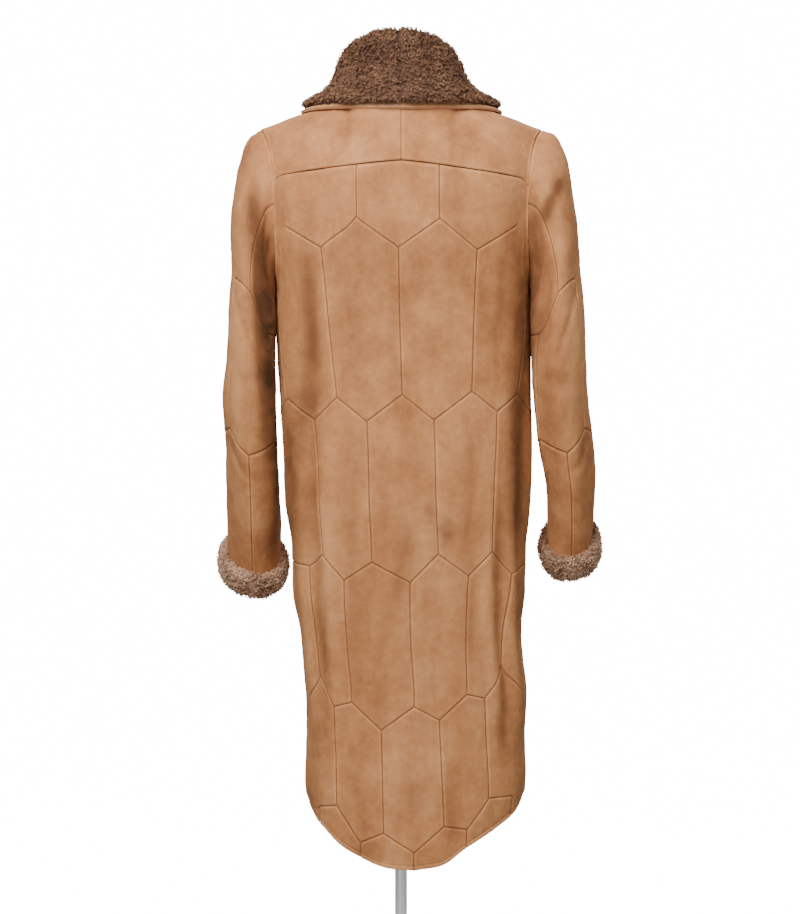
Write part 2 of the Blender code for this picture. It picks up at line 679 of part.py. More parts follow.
LOWER_ROWS = (
    rows_at(1)
    + rows_between(1, (0.16, ARMPIT_ROW, 0.47, 0.63, 0.81))
    + rows_at(2)
    + rows_between(2, (0.26, 0.5, 0.75))
    + rows_at(3)
    + rows_between(3, (0.26, 0.5, 0.75))
    + rows_at(4)
    + rows_between(4, (0.3, 0.62))
    + rows_at(5)
    + rows_between(5, (0.5,))
    + [(LAST_LINE, 0.0, 7.0), (LAST_LINE, 0.0, 0.0)]
)
COARSE_LOWER = ((1, 0.0), (1, 0.16), (1, ARMPIT_ROW), (1, 0.63), (2, 0.0), (2, 0.5), (3, 0.0), (3, 0.5))
COARSE_LOWER += ((4, 0.0), (4, 0.62), (LAST_LINE, 0.0))
BACK_ROWS = [(0, 0.0, 0.0), (0, 0.0, -GROOVE_HALF), (0, 0.55, 0.0)] + LOWER_ROWS
FRONT_ROWS = rows_between(0, (0.0, 0.05, 0.12, 0.22, 0.34, 0.48, 0.64, 0.8)) + LOWER_ROWS
YOKE_ROWS = (1.0, 0.93, 0.8, 0.62, 0.42, 0.22, 0.05, 0.0)


def coarse_rows(rows):
    kept = [i for i, (k, share, off) in enumerate(rows) if off == 0.0 and (k, share) in COARSE_LOWER]
    return [i for i, (k, share, off) in enumerate(rows) if k == 0 and off == 0.0] + kept


def yoke_seam_level(side, column):
    """Level of the yoke seam at a lattice column."""
    share = np.abs(column_share("back", side, column, CHEST))
    _, _, _, power = skin.shape("back", CHEST)
    across = np.cos(skin.angle_at("back", share, np.full(share.shape, CHEST))) ** (2 / power)
    _, _, top_z = skin.column_top("back", across)
    z = YOKE_Z - YOKE_DROP[side] * share ** 1.15
    rise = np.clip((z - CHEST) / (top_z - CHEST), 0, 1)
    return CHEST + CLIMB * np.arcsin(rise) / (0.5 * math.pi)


def column_share(half, side, column, level):
    """Share of the way to the side, before the armhole pulls the outer columns in."""
    column, level = np.broadcast_arrays(np.asarray(column, float), np.asarray(level, float))
    z = np.minimum(level, CHEST)
    way = skin.quarter_length(half, z)
    share = column_way(column, z, side if half == "back" else 0) / way
    beyond = column > 4 + BESIDE + 1e-6
    last = column_share(half, side, np.full(level.shape, 4 + BESIDE), level) if beyond.any() else 0
    share = np.where(beyond, last + (1 - last) * (column - 4 - BESIDE) / (EDGE - 4 - BESIDE), share)
    at_neck = np.abs(column - NECK_COLUMN[half]) < 1e-6
    neck_share = skin.share_at_x(half, NECK_X / TIP_X)
    return np.where(at_neck, share + (neck_share - share) * smooth((level - 1200) / 90), share)


def line_level(half, side, k, column):
    """Level of the top line (0), a zigzag or the hem at a lattice column."""
    hem_share = np.clip(column_share(half, side, column, 400.0), 0, 1)
    hem_column = "front" if half == "front" else ("left" if side > 0 else "right")
    low = hem.at(hem_column, hem_share)
    if k == LAST_LINE:
        return low
    if k == 0:
        return yoke_seam_level(side, column) if half == "back" else np.full(len(column), TOP)
    return np.maximum(zigzag(k, column, side if half == "back" else 0), low + 14)


def armpit_share(level, top):
    """Share of the armhole's edge, 0 at the armpit, for a row that meets it."""
    return np.clip((level - ARMPIT) / (top - ARMPIT), 0, 1)


def quarter_grid(half, side, columns, rows):
    """Turns and levels of a grid's points with their lattice columns and levels, and the rows' armhole shares."""
    columns = np.array(columns, float)
    lines = [line_level(half, side, k, columns) for k in range(LAST_LINE + 1)]
    edge_top = float(lines[0][-1])
    seam_q = float(np.interp(edge_top, armhole_level(np.linspace(0, 1, 200)), np.linspace(0, 1, 200)))
    turns, levels, flat, qs = [], [], [], []
    for k, share, off in rows:
        low = lines[min(k + 1, LAST_LINE)]
        level = lines[k] * (1 - share) + low * share + off
        edge = float(level[-1])
        q = min(float(armpit_share(edge, edge_top)), 1.0) * seam_q if edge > ARMPIT + 0.5 else None
        if abs(edge - ARMPIT) < 0.5:
            edge_share, edge_level, q = 1.0, ARMPIT, 0.0
        elif q is None:
            edge_share, edge_level = 1.0, edge
        else:
            places = armhole_places(half, armhole_level(np.array([q])))
            edge_share, edge_level = float(places[0][0]), float(places[1][0])
        share_free = column_share(half, side, columns, np.minimum(level, ARMPIT if q is not None else level))
        here = column_share(half, side, columns, level)
        anchor_free = np.interp(ANCHOR, columns, share_free)
        anchor_here = np.interp(ANCHOR, columns, here)
        pull = np.clip((share_free - anchor_free) / (1 - anchor_free), 0, 1)
        outer = columns > ANCHOR + 1e-6
        placed = np.where(outer, anchor_here + pull * (edge_share - anchor_here), here)
        bent = np.where(outer, level + pull * (edge_level - edge), level)
        turns.append(side * placed if half == "back" else side * (2.0 - placed))
        levels.append(bent)
        flat.append(level)
        qs.append(q)
    return np.array(turns), np.array(levels), np.array(flat), lines, qs


def raised(turn, level, over, rise):
    """Points of the skin moved out by its folds, the front's overlap and a further rise."""
    out = fold_rise(turn, level) + overlap_rise(turn, level, over) + rise
    return skin.point(turn, level) + skin.normal(turn, level) * out[..., None]


def quarter_panel(half, side, columns, rows, over):
    """Outer and inner point grids of a quarter of the body cloth, rows from the top down."""
    turn, level, flat, lines, qs = quarter_grid(half, side, columns, rows)
    column = np.broadcast_to(np.array(columns, float), flat.shape)
    groove = seam_groove(column, flat, side if half == "back" else 0, lines[0], lines[LAST_LINE])
    outer = raised(turn, level, over, groove)
    inner = raised(turn, level, over, np.full(groove.shape, -WALL))
    for r, q in enumerate(qs):
        if q is not None:
            edge_out, edge_in = armhole_edge(half, side, [q])
            outer[r, -1], inner[r, -1] = edge_out[0], edge_in[0]
        if q is None or q == 0.0:
            away = SEAM_GAP / 2 if half == "back" else -SEAM_GAP / 2
            outer[r, -1, 1] += away
            inner[r, -1, 1] += away
    return outer, inner, qs


def make_back():
    columns = lattice_columns("back", (0.0, BESIDE, 0.5))
    rows = [(0, 0.0, -YOKE_SEAM_PART)] + BACK_ROWS[1:]
    left_out, left_in, qs = quarter_panel("back", 1, columns, rows, 0)
    right_out, right_in, _ = quarter_panel("back", -1, columns, rows, 0)
    outer = np.concatenate([right_out[:, :0:-1], left_out], axis=1)
    inner = np.concatenate([right_in[:, :0:-1], left_in], axis=1)
    kept = coarse_columns(columns)
    cols = [len(columns) - 1 - i for i in kept[::-1] if i > 0] + [len(columns) - 1 + i for i in kept]
    kept_rows = coarse_rows(BACK_ROWS)
    walled_patch("back", outer, inner[np.ix_(kept_rows, cols)], kept_rows, cols, SUEDE)
    return [q for q in qs if q is not None]


def make_yoke(side):
    """A back yoke piece, from the yoke seam to the shoulder line and the neck."""
    name = "back_yoke_left" if side > 0 else "back_yoke_right"
    columns = np.array(lattice_columns("back", (0.0, BESIDE, 0.5)))
    seam = yoke_seam_level(side, columns)
    seam_q = float(np.interp(seam[-1], armhole_level(np.linspace(0, 1, 200)), np.linspace(0, 1, 200)))
    seam_q += SEAM_Q_PART
    qs = [seam_q + (1 - seam_q) * share for share in YOKE_ROWS]
    edge_shares, edge_levels = armhole_places("back", armhole_level(np.array(qs)))
    plain = column_share("back", side, columns, np.full(len(columns), CHEST))
    plain[0] = 0.0
    anchor = np.interp(ANCHOR, columns, plain)
    free = column_share("back", side, columns, np.full(len(columns), ARMPIT))
    anchor_free = np.interp(ANCHOR, columns, free)
    pull = np.where(columns > ANCHOR + 1e-6, np.clip((free - anchor_free) / (1 - anchor_free), 0, 1), 0.0)
    turns, levels = [], []
    for share, edge_share, edge_level in zip(YOKE_ROWS, edge_shares, edge_levels):
        level = seam + (TOP - seam) * share + (YOKE_SEAM_PART if share == 0.0 else 0.0)
        placed = np.where(pull > 0, anchor + pull * (edge_share - anchor), plain)
        level = level + pull * (edge_level - level[-1])
        turns.append(side * placed)
        levels.append(np.minimum(level, TOP))
    turn, level = np.array(turns), np.array(levels)
    from_seam = level - seam
    from_middle = np.abs(turn) * skin.quarter_length("back", CHEST)
    near = np.minimum(np.minimum(from_seam, from_middle), (TOP - level) * 1.05)
    groove = -SEAM_DIP * np.clip(1 - near / GROOVE_HALF, 0, 1) ** 1.5
    outer, inner = raised(turn, level, 0, groove), raised(turn, level, 0, np.full(groove.shape, -WALL))
    outer[:, -1], inner[:, -1] = armhole_edge("back", side, qs)
    outer[:, 0, 0], inner[:, 0, 0] = side * SEAM_GAP / 2, side * SEAM_GAP / 2
    part_at_shoulder(outer, inner, 1)
    inner[..., 1] = np.maximum(inner[..., 1], SEAM_GAP / 2)
    kept = coarse_columns(list(columns))
    rows = list(range(len(YOKE_ROWS)))
    walled_patch(name, outer, inner[:, kept], rows, kept, SUEDE, side)
    return qs


def part_at_shoulder(outer, inner, back):
    """Moves the top row's points along the shoulder line apart from the panel on the other side."""
    on_shoulder = np.abs(outer[0, :, 1]) < 1.0
    for grid in (outer, inner):
        grid[0, on_shoulder, 1] = back * SEAM_GAP / 2


def make_front(side):
    name = "front_left" if side > 0 else "front_right"
    over = -1 if side > 0 else 1
    columns = lattice_columns("front", (-OVERLAP / FRONT_PITCH, -0.2, 0.2, 0.6))
    outer, inner, qs = quarter_panel("front", side, columns, FRONT_ROWS, over)
    part_at_shoulder(outer, inner, -1)
    inner[..., 1] = np.minimum(inner[..., 1], -SEAM_GAP / 2)
    kept, rows = coarse_columns(columns), coarse_rows(FRONT_ROWS)
    walled_patch(name, outer, inner[np.ix_(rows, kept)], rows, kept, SUEDE)
    return [q for q in qs if q is not None]


# Sleeves and cuffs


class Sleeve:
    """A sleeve's surface by share round it (0 outside, 0.25 back, 0.5 inside, 0.75 front) and station."""

    SHARES = np.linspace(0.0, 1.0, 129)

    def __init__(self, name, side):
        self.table = Table(SLEEVE_COLUMNS, SLEEVES[name])
        self.side = side
        self.stations = np.linspace(0, SLEEVE_END, 97)
        self.angles = np.array([self.measure(v) for v in self.stations])
        shares = np.linspace(0.0, 1.0, 65)
        here = self.plain(shares, np.zeros(65))
        self.armhole_shares = shares
        self.armhole_shift = self.armhole(shares) - here
        self.folds = Folds(SLEEVE_FOLD_COLUMNS, SLEEVE_FOLDS)

    def frame(self, v):
        at = self.table.at
        out_x, out_z, in_x, in_z = at("out_x", v), at("out_z", v), at("in_x", v), at("in_z", v)
        lean = np.radians(at("lean", v))
        depth = at("depth", v)
        middle = stack(self.side * (out_x + in_x) / 2, at("mid_y", v), (out_z + in_z) / 2)
        across = stack(self.side * (out_x - in_x) / 2, 0.0 * depth, (out_z - in_z) / 2)
        through = stack(0.0 * depth, depth * np.cos(lean), -depth * np.sin(lean))
        return middle, across, through

    def ring_point(self, angle, v):
        middle, across, through = self.frame(v)
        power = 2 / SLEEVE_SQUARENESS
        c, s = np.cos(angle), np.sin(angle)
        c, s = np.sign(c) * np.abs(c) ** power, np.sign(s) * np.abs(s) ** power
        return middle + across * c[..., None] + through * s[..., None]

    def measure(self, v):
        angle = np.linspace(0, 2 * math.pi, 721)
        points = self.ring_point(angle, np.full(angle.shape, v))
        way = np.concatenate([[0.0], np.cumsum(np.linalg.norm(np.diff(points, axis=0), axis=1))])
        return np.interp(self.SHARES, way / way[-1], angle)

    def plain(self, share, v):
        share, v = np.broadcast_arrays(np.asarray(share, float), np.asarray(v, float))
        row = np.clip(v / SLEEVE_END, 0, 1) * (len(self.stations) - 1.001)
        col = (share % 1.0) * (len(self.SHARES) - 1.001)
        i, j = row.astype(int), col.astype(int)
        fi, fj = row - i, col - j
        low = self.angles[i, j] * (1 - fj) + self.angles[i, j + 1] * fj
        high = self.angles[i + 1, j] * (1 - fj) + self.angles[i + 1, j + 1] * fj
        return self.ring_point(low * (1 - fi) + high * fi, v)

    def armhole(self, shares):
        rings = []
        for share in shares:
            half, q = ("back", 1 - 2 * share) if share <= 0.5 else ("front", 2 * share - 1)
            rings.append(armhole_edge(half, self.side, [q])[0][0])
        return np.array(rings)

    def point(self, share, v):
        share, v = np.broadcast_arrays(np.asarray(share, float), np.asarray(v, float))
        shift = stack(*[np.interp(share % 1.0, self.armhole_shares, self.armhole_shift[:, c]) for c in range(3)])
        return self.plain(share, v) + shift * (1 - smooth(v / SLEEVE_BLEND))[..., None]

    def normal(self, share, v):
        low, high = np.clip(v - 0.03, 0, SLEEVE_END - 0.06), np.clip(v + 0.03, 0.06, SLEEVE_END)
        down = self.point(share, high) - self.point(share, low)
        around = self.point(share + 0.004, v) - self.point(share - 0.004, v)
        return unit(np.cross(around, down)) * -self.side

    def raised(self, share, v, rise):
        fold = self.folds.rise(share % 1.0, v, ("g", "v")) if self.folds else 0.0
        return self.point(share, v) + self.normal(share, v) * (fold + rise)[..., None]


def sleeve_line(k, column):
    odd, even = SLEEVE_ZIGZAGS[k]
    odd_share = 1.0 - np.abs(np.asarray(column, float) % 2.0 - 1.0)
    return even + (odd - even) * odd_share


def sleeve_groove(column, v):
    first, second = sleeve_line(0, column), sleeve_line(1, column)
    near = np.minimum(np.abs(v - first), np.abs(v - second)) * SLEEVE_STATION * SLEEVE_ZIGZAG_LEAN
    whole = np.round(column)
    band = (v > first).astype(int) + (v > second).astype(int)
    has_seam = (whole.astype(int) + band) % 2 == 0
    near = np.where(has_seam, np.minimum(near, np.abs(column - whole) * SLEEVE_PITCH), near)
    return -GROOVE_DEPTH * np.clip(1 - near / GROOVE_HALF, 0, 1) ** 1.5


# Stations of a sleeve's rows: from the armhole to the first zigzag, then shares of the way to the second one
# and to the end, and the rows that its inside keeps
SLEEVE_HEAD_ROWS = (0.4, 1.0, 1.8, 2.7, 3.6)
SLEEVE_MIDDLE_ROWS = (0.2, 0.4, 0.6, 0.8)
SLEEVE_LOWER_ROWS = (0.25, 0.5, 0.75, 1.0)
SLEEVE_INNER_ROWS = (1, 3, 6, 8, 10, 13, 15, 17, 18)


def make_sleeve(name, side, back_q, yoke_q, front_q):
    sleeve = Sleeve(name, side)
    steps = (0.0, SLEEVE_BESIDE, 0.5, 1 - SLEEVE_BESIDE)
    columns = np.array([whole + step for whole in range(SLEEVE_LATTICE) for step in steps])
    shares = columns / SLEEVE_LATTICE
    first, second = sleeve_line(0, columns), sleeve_line(1, columns)
    stations = [np.full(len(columns), v) for v in SLEEVE_HEAD_ROWS]
    stations += [first - SLEEVE_REACH, first, first + SLEEVE_REACH]
    stations += [first + (second - first) * f for f in SLEEVE_MIDDLE_ROWS]
    stations += [second - SLEEVE_REACH, second, second + SLEEVE_REACH]
    stations += [second + (SLEEVE_END - second) * f for f in SLEEVE_LOWER_ROWS]
    v = np.array(stations)
    column = np.broadcast_to(columns, v.shape)
    groove = sleeve_groove(column, v) * smooth((SLEEVE_END - v) * 2 + 0.2)
    share = column / SLEEVE_LATTICE
    outer = sleeve.raised(share, v, groove)
    inner = sleeve.raised(share[:, ::2], v[:, ::2], np.full(v[:, ::2].shape, -WALL))[list(SLEEVE_INNER_ROWS)]
    down = sorted(set(back_q) | set(yoke_q), reverse=True)
    down = [q for i, q in enumerate(down) if i == 0 or down[i - 1] - q > 1e-4]
    up = sorted(set(front_q))[1:-1]
    head_out = np.concatenate([armhole_edge("back", side, down)[0], armhole_edge("front", side, up)[0]])
    head_way = [(1 - q) / 2 for q in down] + [(1 + q) / 2 for q in up]
    head_in = armhole_inner(head_out)
    away = np.array([side * HEAD_PART, 0.0, 0.0])
    middle, across, through = (vector[0] for vector in sleeve.frame(np.array([SLEEVE_END])))
    along = unit(np.cross(across, through))
    inner[-1] -= ((inner[-1] - middle) @ along)[:, None] * along
    solid = Solid()
    out = [solid.row(line) for line in outer]
    ins = [solid.row(line) for line in inner]
    top_out, top_in = solid.row(head_out + away), solid.row(head_in + away)
    for rows in (out, ins):
        for a, b in zip(rows, rows[1:]):
            solid.quads(a, b, closed=True)
    solid.zip(top_out, out[0], head_way, list(shares), closed=True)
    solid.zip(top_in, ins[0], head_way, list(shares[::2]), closed=True)
    solid.quads(top_out, top_in, closed=True)
    solid.zip(out[-1], ins[-1], list(shares), list(shares[::2]), closed=True)
    solid.make("sleeve_" + name, SUEDE)
    return sleeve


def make_cuff(name, sleeve):
    """The wool ring past the sleeve's end."""
    share = np.arange(CUFF_SIDES) / CUFF_SIDES
    end = np.full(CUFF_SIDES, SLEEVE_END)
    ring = sleeve.raised(share, end, np.zeros(CUFF_SIDES))
    _, across, through = sleeve.frame(np.array([SLEEVE_END]))
    along = unit(np.cross(across[0], through[0]))
    along = along * (-1.0 if along[2] > 0 else 1.0)
    before, after = np.roll(ring, 1, axis=0), np.roll(ring, -1, axis=0)
    out = unit(np.cross(after - before, along))
    middle = ring.mean(axis=0)
    out = out * np.where(((ring - middle) * out).sum(axis=1) < 0, -1.0, 1.0)[:, None]
    solid = Solid()
    rows = [solid.row(ring + out * away + along * down) for away, down in CUFF_SECTION]
    for a, b in zip(rows, rows[1:] + rows[:1]):
        solid.quads(a, b, closed=True)
    solid.make("cuff_" + name, WOOL)


# Collar and its suede edge


def place_on_skin(angle, x_share, climb):
    """Turn, level and side of a collar place: climb passes 1 on its way over the shoulder to the front."""
    side = -1.0 if angle < 0 else 1.0
    half = "back" if climb <= 1.0 else "front"
    share = float(skin.share_at_x(half, x_share))
    turn = side * share if half == "back" else side * (2.0 - share)
    level = CHEST + CLIMB * (climb if half == "back" else 2.0 - climb)
    over = 0 if half == "back" else -side
    return np.array([turn]), np.array([level]), over


def collar_frame(angle, collar):
    """Neck point, direction out and sizes of the collar's section at an angle round the neck."""
    away = abs(angle)
    neck_share = NECK_X * math.sin(math.radians(away)) / TIP_X
    turn, level, over = place_on_skin(angle, neck_share, 1.0 if away <= 90 else 1.0 + 1e-9)
    neck = skin.point(turn, level)[0] + np.array([0, 0, float(overlap_rise(turn, level, over)[0])])
    turn, level, over = place_on_skin(angle, float(collar.at("share", away)), float(collar.at("climb", away)))
    edge = raised(turn, level, over, np.array([1.6]))[0]
    out = unit(np.array([edge[0] - neck[0], edge[1] - neck[1], 0.0]))
    reach = math.hypot(edge[0] - neck[0], edge[1] - neck[1])
    sizes = (reach, edge[2] - neck[2], float(collar.at("top", away)) - neck[2])
    return neck, out, sizes + (float(collar.at("thick", away)), float(collar.at("round", away)))


class Ground:
    """Heights of the made panels, seen from above."""

    def __init__(self, names):
        self.trees = []
        for name in names:
            mesh = bpy.data.objects[name].data
            corners = [vertex.co[:] for vertex in mesh.vertices]
            self.trees.append(BVHTree.FromPolygons(corners, [face.vertices[:] for face in mesh.polygons]))

    def height(self, x, y):
        """The highest panel here, or a height far below when there is none."""
        start = Vector((x * MM, y * MM, 2.0))
        hits = [tree.ray_cast(start, Vector((0.0, 0.0, -1.0)))[0] for tree in self.trees]
        return max([hit.z / MM for hit in hits if hit is not None], default=-1e6)

    def along(self, start, out, ways, beside):
        """Heights over the start point at these distances from it, and up to so far beside."""
        beside = np.array([-out[1], out[0]]) * beside
        found = []
        for way in ways:
            place = start[:2] + out[:2] * way
            found.append(max(self.height(*(place + beside * k)) for k in (-1, 0, 1)))
        return np.array(found) - start[2]


def bezier(points, t):
    a, b, c, d = (np.array(p) for p in points)
    t = np.asarray(t, float)[:, None]
    return (1 - t) ** 3 * a + 3 * (1 - t) ** 2 * t * b + 3 * (1 - t) * t * t * c + t**3 * d


def collar_section(sizes, ground_at):
    """The hide's inner line from the neck up over the fold and down to the edge, the wool's outer line, and the
    edge strip's two lines, each as (out, up) points."""
    reach, low, high, thick, rounding = sizes
    hide = high - thick - COLLAR_FOLD
    width = 2 * COLLAR_FOLD
    stand = [(0.0, 0.0), (-1.0, hide * 0.5), (0.0, hide)]
    fold = [(COLLAR_FOLD, hide + COLLAR_FOLD)]
    start, end = (width, hide), (reach, low)
    sloping = np.array([(width + 0.05 * reach, hide * 0.4 + low * 0.2), (reach * 0.45, low * 0.88 + hide * 0.12)])
    rounded = np.array([(width + 0.35 * reach, hide * 0.95), (reach, low * 0.4)])
    first, second = sloping + (rounded - sloping) * rounding
    fine = bezier((start, first, second, end), np.linspace(0, 1, 60))
    fine[:, 1] = np.maximum(fine[:, 1], ground_at(fine[:, 0]) + COLLAR_CLEAR)
    way = np.concatenate([[0.0], np.cumsum(np.linalg.norm(np.diff(fine, axis=0), axis=1))])
    break_way = way[-1] - BINDING_WIDTH
    fall_ways = [0.0, break_way * 0.3, break_way * 0.6, break_way * 0.84, break_way - SEAM_GAP]
    strip_ways = [break_way + 4.0 * SEAM_GAP, break_way + BINDING_WIDTH / 2, way[-1]]

    def on_fall(ways):
        points = stack(np.interp(ways, way, fine[:, 0]), np.interp(ways, way, fine[:, 1]))
        step = stack(
            np.interp(np.add(ways, 1.0), way, fine[:, 0]) - np.interp(np.add(ways, -1.0), way, fine[:, 0]),
            np.interp(np.add(ways, 1.0), way, fine[:, 1]) - np.interp(np.add(ways, -1.0), way, fine[:, 1]),
        )
        step = unit(step)
        return points, stack(-step[:, 1], step[:, 0])

    fall, fall_out = on_fall(fall_ways)
    strip, strip_out = on_fall(strip_ways)
    strip_out[0] = fall_out[-1]
    stand_thick = 0.62 * thick
    wool = [(-stand_thick, 0.0), (-1.0 - stand_thick, hide * 0.5), (-stand_thick * 0.95, hide + COLLAR_FOLD)]
    wool += [(COLLAR_FOLD, high)]
    wool_fall = fall + fall_out * (thick + COLLAR_SWELL)[:, None]
    wool_fall[0] = (width + 0.86 * thick, hide + 0.25 * thick)
    inner = np.array(stand + fold + fall.tolist())
    outer = np.array(wool + wool_fall.tolist())
    return inner, outer, strip, strip + strip_out * BINDING_THICK


def make_collar():
    collar = Table(COLLAR_COLUMNS, COLLAR)
    ground = Ground(("back", "back_yoke_left", "back_yoke_right", "front_left", "front_right"))
    angles = np.linspace(-COLLAR_END, COLLAR_END, COLLAR_SECTIONS)
    wool, strip = Solid(), Solid()
    wool_rows, strip_rows = [], []
    for angle in angles:
        neck, out, sizes = collar_frame(angle, collar)
        seat = ground.along(neck, out, np.linspace(-COLLAR_STAND_REACH, 2 * COLLAR_FOLD, 13), 1.0).max()
        neck[2] += max(0.0, seat) + COLLAR_SEAT
        inner, outer, strip_in, strip_out = collar_section(
            sizes, lambda ways: ground.along(neck, out, ways, COLLAR_BESIDE)
        )

        def placed(line):
            return neck + line[:, :1] * out + line[:, 1:] * np.array([COLLAR_LEAN, 0.0, 1.0])

        wool_rows.append(wool.row(np.concatenate([placed(inner), placed(outer[::-1])])))
        strip_rows.append(strip.row(np.concatenate([placed(strip_in), placed(strip_out[::-1])])))
    for solid, rows, name, look in (
        (wool, wool_rows, "collar", WOOL),
        (strip, strip_rows, "collar_binding", PALE_SUEDE),
    ):
        for a, b in zip(rows, rows[1:]):
            solid.quads(a, b, closed=True)
        for cap in (rows[0], rows[-1]):
            half = len(cap) // 2
            solid.quads(cap[:half], cap[: half - 1 : -1])
        solid.make(name, look)


# Buttons


def make_button(number, height):
    """A plain turned disc on the upper front's centre line."""
    turn, level = np.array([-2.0 + 1e-4]), np.array([height])
    out = skin.normal(turn, level)[0]
    seat = raised(turn, level, 1, np.array([0.5]))[0]
    across = unit(np.cross(out, np.array([0.0, 0.0, 1.0])))
    up = np.cross(across, out)
    solid = Solid()
    angle = 2 * math.pi * np.arange(BUTTON_SIDES) / BUTTON_SIDES
    rows = []
    for radius, height_out in BUTTON_PROFILE:
        ring = radius * (np.cos(angle)[:, None] * across + np.sin(angle)[:, None] * up)
        rows.append(solid.row(seat + ring + out * height_out))
    for a, b in zip(rows, rows[1:]):
        solid.quads(a, b, closed=True)
    solid.face(*rows[0])
    solid.face(*rows[-1])
    solid.make(f"button_{number}", BUTTON)


# Dress form and stand


def make_form():
    slope = (TIP_Z - NECK_Z) / (TIP_X - NECK_X)
    tip_z = NECK_Z + slope * (FORM_TIP_X - NECK_X) - FORM_DROP
    neck_z = NECK_Z + slope * (FORM_NECK_X - NECK_X) - FORM_DROP
    neck = (FORM_NECK_X, neck_z, FORM_NECK_BACK, FORM_NECK_FRONT, FORM_NECK_DROP)
    form = Torso(FORM_RINGS, (FORM_TIP_X, tip_z), neck, FORM_SLOPE)
    neck = FORM_NECK_X / FORM_TIP_X
    across = np.array([neck * share for share in FORM_NECK_SHARES] + list(FORM_SHOULDER_SHARES))
    corner, away = len(FORM_NECK_SHARES) - 1, len(across) - 1
    back = [float(form.share_at_x("back", a)) for a in across]
    front = [float(form.share_at_x("front", a)) for a in across]
    turns = back[:-1] + [1.0] + [2 - s for s in front[-2::-1]]
    turns += [-(2 - s) for s in front[1:-1]] + [-1.0] + [-s for s in back[-2:0:-1]]
    turns = np.array(turns)
    line = {half: stack(*form.column_top(half, across)) for half in ("back", "front")}
    mirror = np.array([-1.0, 1.0, 1.0])
    tops = [line["back"], line["front"][-2::-1], line["front"][1:-1] * mirror, line["back"][:0:-1] * mirror]
    levels = list(FORM_LEVELS) + [CHEST + CLIMB * t for t in FORM_CLIMBS]
    solid = Solid()
    rows = [solid.row(form.point(turns, np.full(len(turns), float(level)))) for level in levels]
    rows.append(solid.row(np.concatenate(tops)))
    for a, b in zip(rows, rows[1:]):
        solid.quads(a, b, closed=True)
    solid.face(*rows[0])
    top = rows[-1]
    neck_places = list(range(0, corner + 1)) + list(range(2 * away - corner, 2 * away + corner + 1))
    neck_places += list(range(4 * away - corner, 4 * away))
    ring = np.array([solid.points[top[i]] for i in neck_places])
    below = [top[i] for i in neck_places]
    for share, scale in FORM_NECK:
        lifted = ring * np.array([scale, scale, 1.0])
        lifted[:, 2] += FORM_NECK_STEP * (1 - share) + (NECK_CAP_Z - SEAM_GAP - ring[:, 2]) * share
        above = solid.row(lifted)
        solid.quads(below, above, closed=True)
        below = above
    solid.face(*below)
    solid.make("form_torso", FORM_COVER)
    make_neck_cap(lifted)


def make_neck_cap(ring):
    """A flat cap with an eased edge on the form's neck."""
    solid = Solid()
    rows = []
    for scale, up in ((1.0, 0.0), (1.0, 0.6), (0.97, 1.0)):
        flat = ring * np.array([scale, scale, 0.0])
        rows.append(solid.row(flat + np.array([0.0, 0.0, NECK_CAP_Z + NECK_CAP_THICK * up])))
    for a, b in zip(rows, rows[1:]):
        solid.quads(a, b, closed=True)
    solid.face(*rows[0])
    solid.face(*rows[-1])
    solid.make("form_neck_cap", STEEL)


def make_turned(name, profile, sides, look):
    """A solid of revolution about the pole's axis, from its (radius, height) profile, bottom up."""
    solid = Solid()
    angle = 2 * math.pi * np.arange(sides) / sides
    rows = [solid.row(stack(r * np.cos(angle), r * np.sin(angle), np.full(sides, z))) for r, z in profile]
    for a, b in zip(rows, rows[1:]):
        solid.quads(a, b, closed=True)
    solid.face(*rows[0])
    solid.face(*rows[-1])
    solid.make(name, look)


def make_stand():
    base = [(BASE_RADIUS - 1.5, 0.0), (BASE_RADIUS, 1.5), (BASE_RADIUS, BASE_EDGE - 2.0)]
    base += [(BASE_RADIUS - 2.5, BASE_EDGE), (60.0, BASE_CROWN - 1.0), (26.0, BASE_CROWN + 2.0)]
    base += [(BOSS_RADIUS, BASE_CROWN + 10.0), (BOSS_RADIUS, BOSS_TOP - 1.5), (BOSS_RADIUS - 1.5, BOSS_TOP)]
    make_turned("stand_base", base, 40, STEEL)
    pole = [(POLE_RADIUS, BOSS_TOP + SEAM_GAP * 0.75), (POLE_RADIUS, FORM_BOTTOM - SEAM_GAP * 0.75)]
    make_turned("stand_pole", pole, 24, STEEL)


def main():
    for old in list(bpy.data.objects):
        bpy.data.objects.remove(old, do_unlink=True)
    back_q = make_back()
    yoke_q = make_yoke(1)
    make_yoke(-1)
    front_q = make_front(1)
    make_front(-1)
    for name, side in (("left", 1), ("right", -1)):
        make_cuff(name, make_sleeve(name, side, back_q, yoke_q, front_q))
    make_collar()
    for number, height in enumerate(BUTTON_HEIGHTS, 1):
        make_button(number, height)
    make_form()
    make_stand()


main()
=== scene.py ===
"""A long patchwork shearling coat on a limbless dress form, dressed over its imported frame.

Lengths are in millimetres until a mesh is made. +Z is up, the coat's back faces +Y, the wearer's left is +X.
A place on the body cloth is (turn, level): turn is 0 at the centre back, 1 and -1 at the side seams, and 2
and -2 at the centre front. Level is the height up to CHEST, then the way up a column to the shoulder or
neck line.
"""

import math

import bmesh
import bpy
import numpy as np
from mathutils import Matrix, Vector
from mathutils.bvhtree import BVHTree


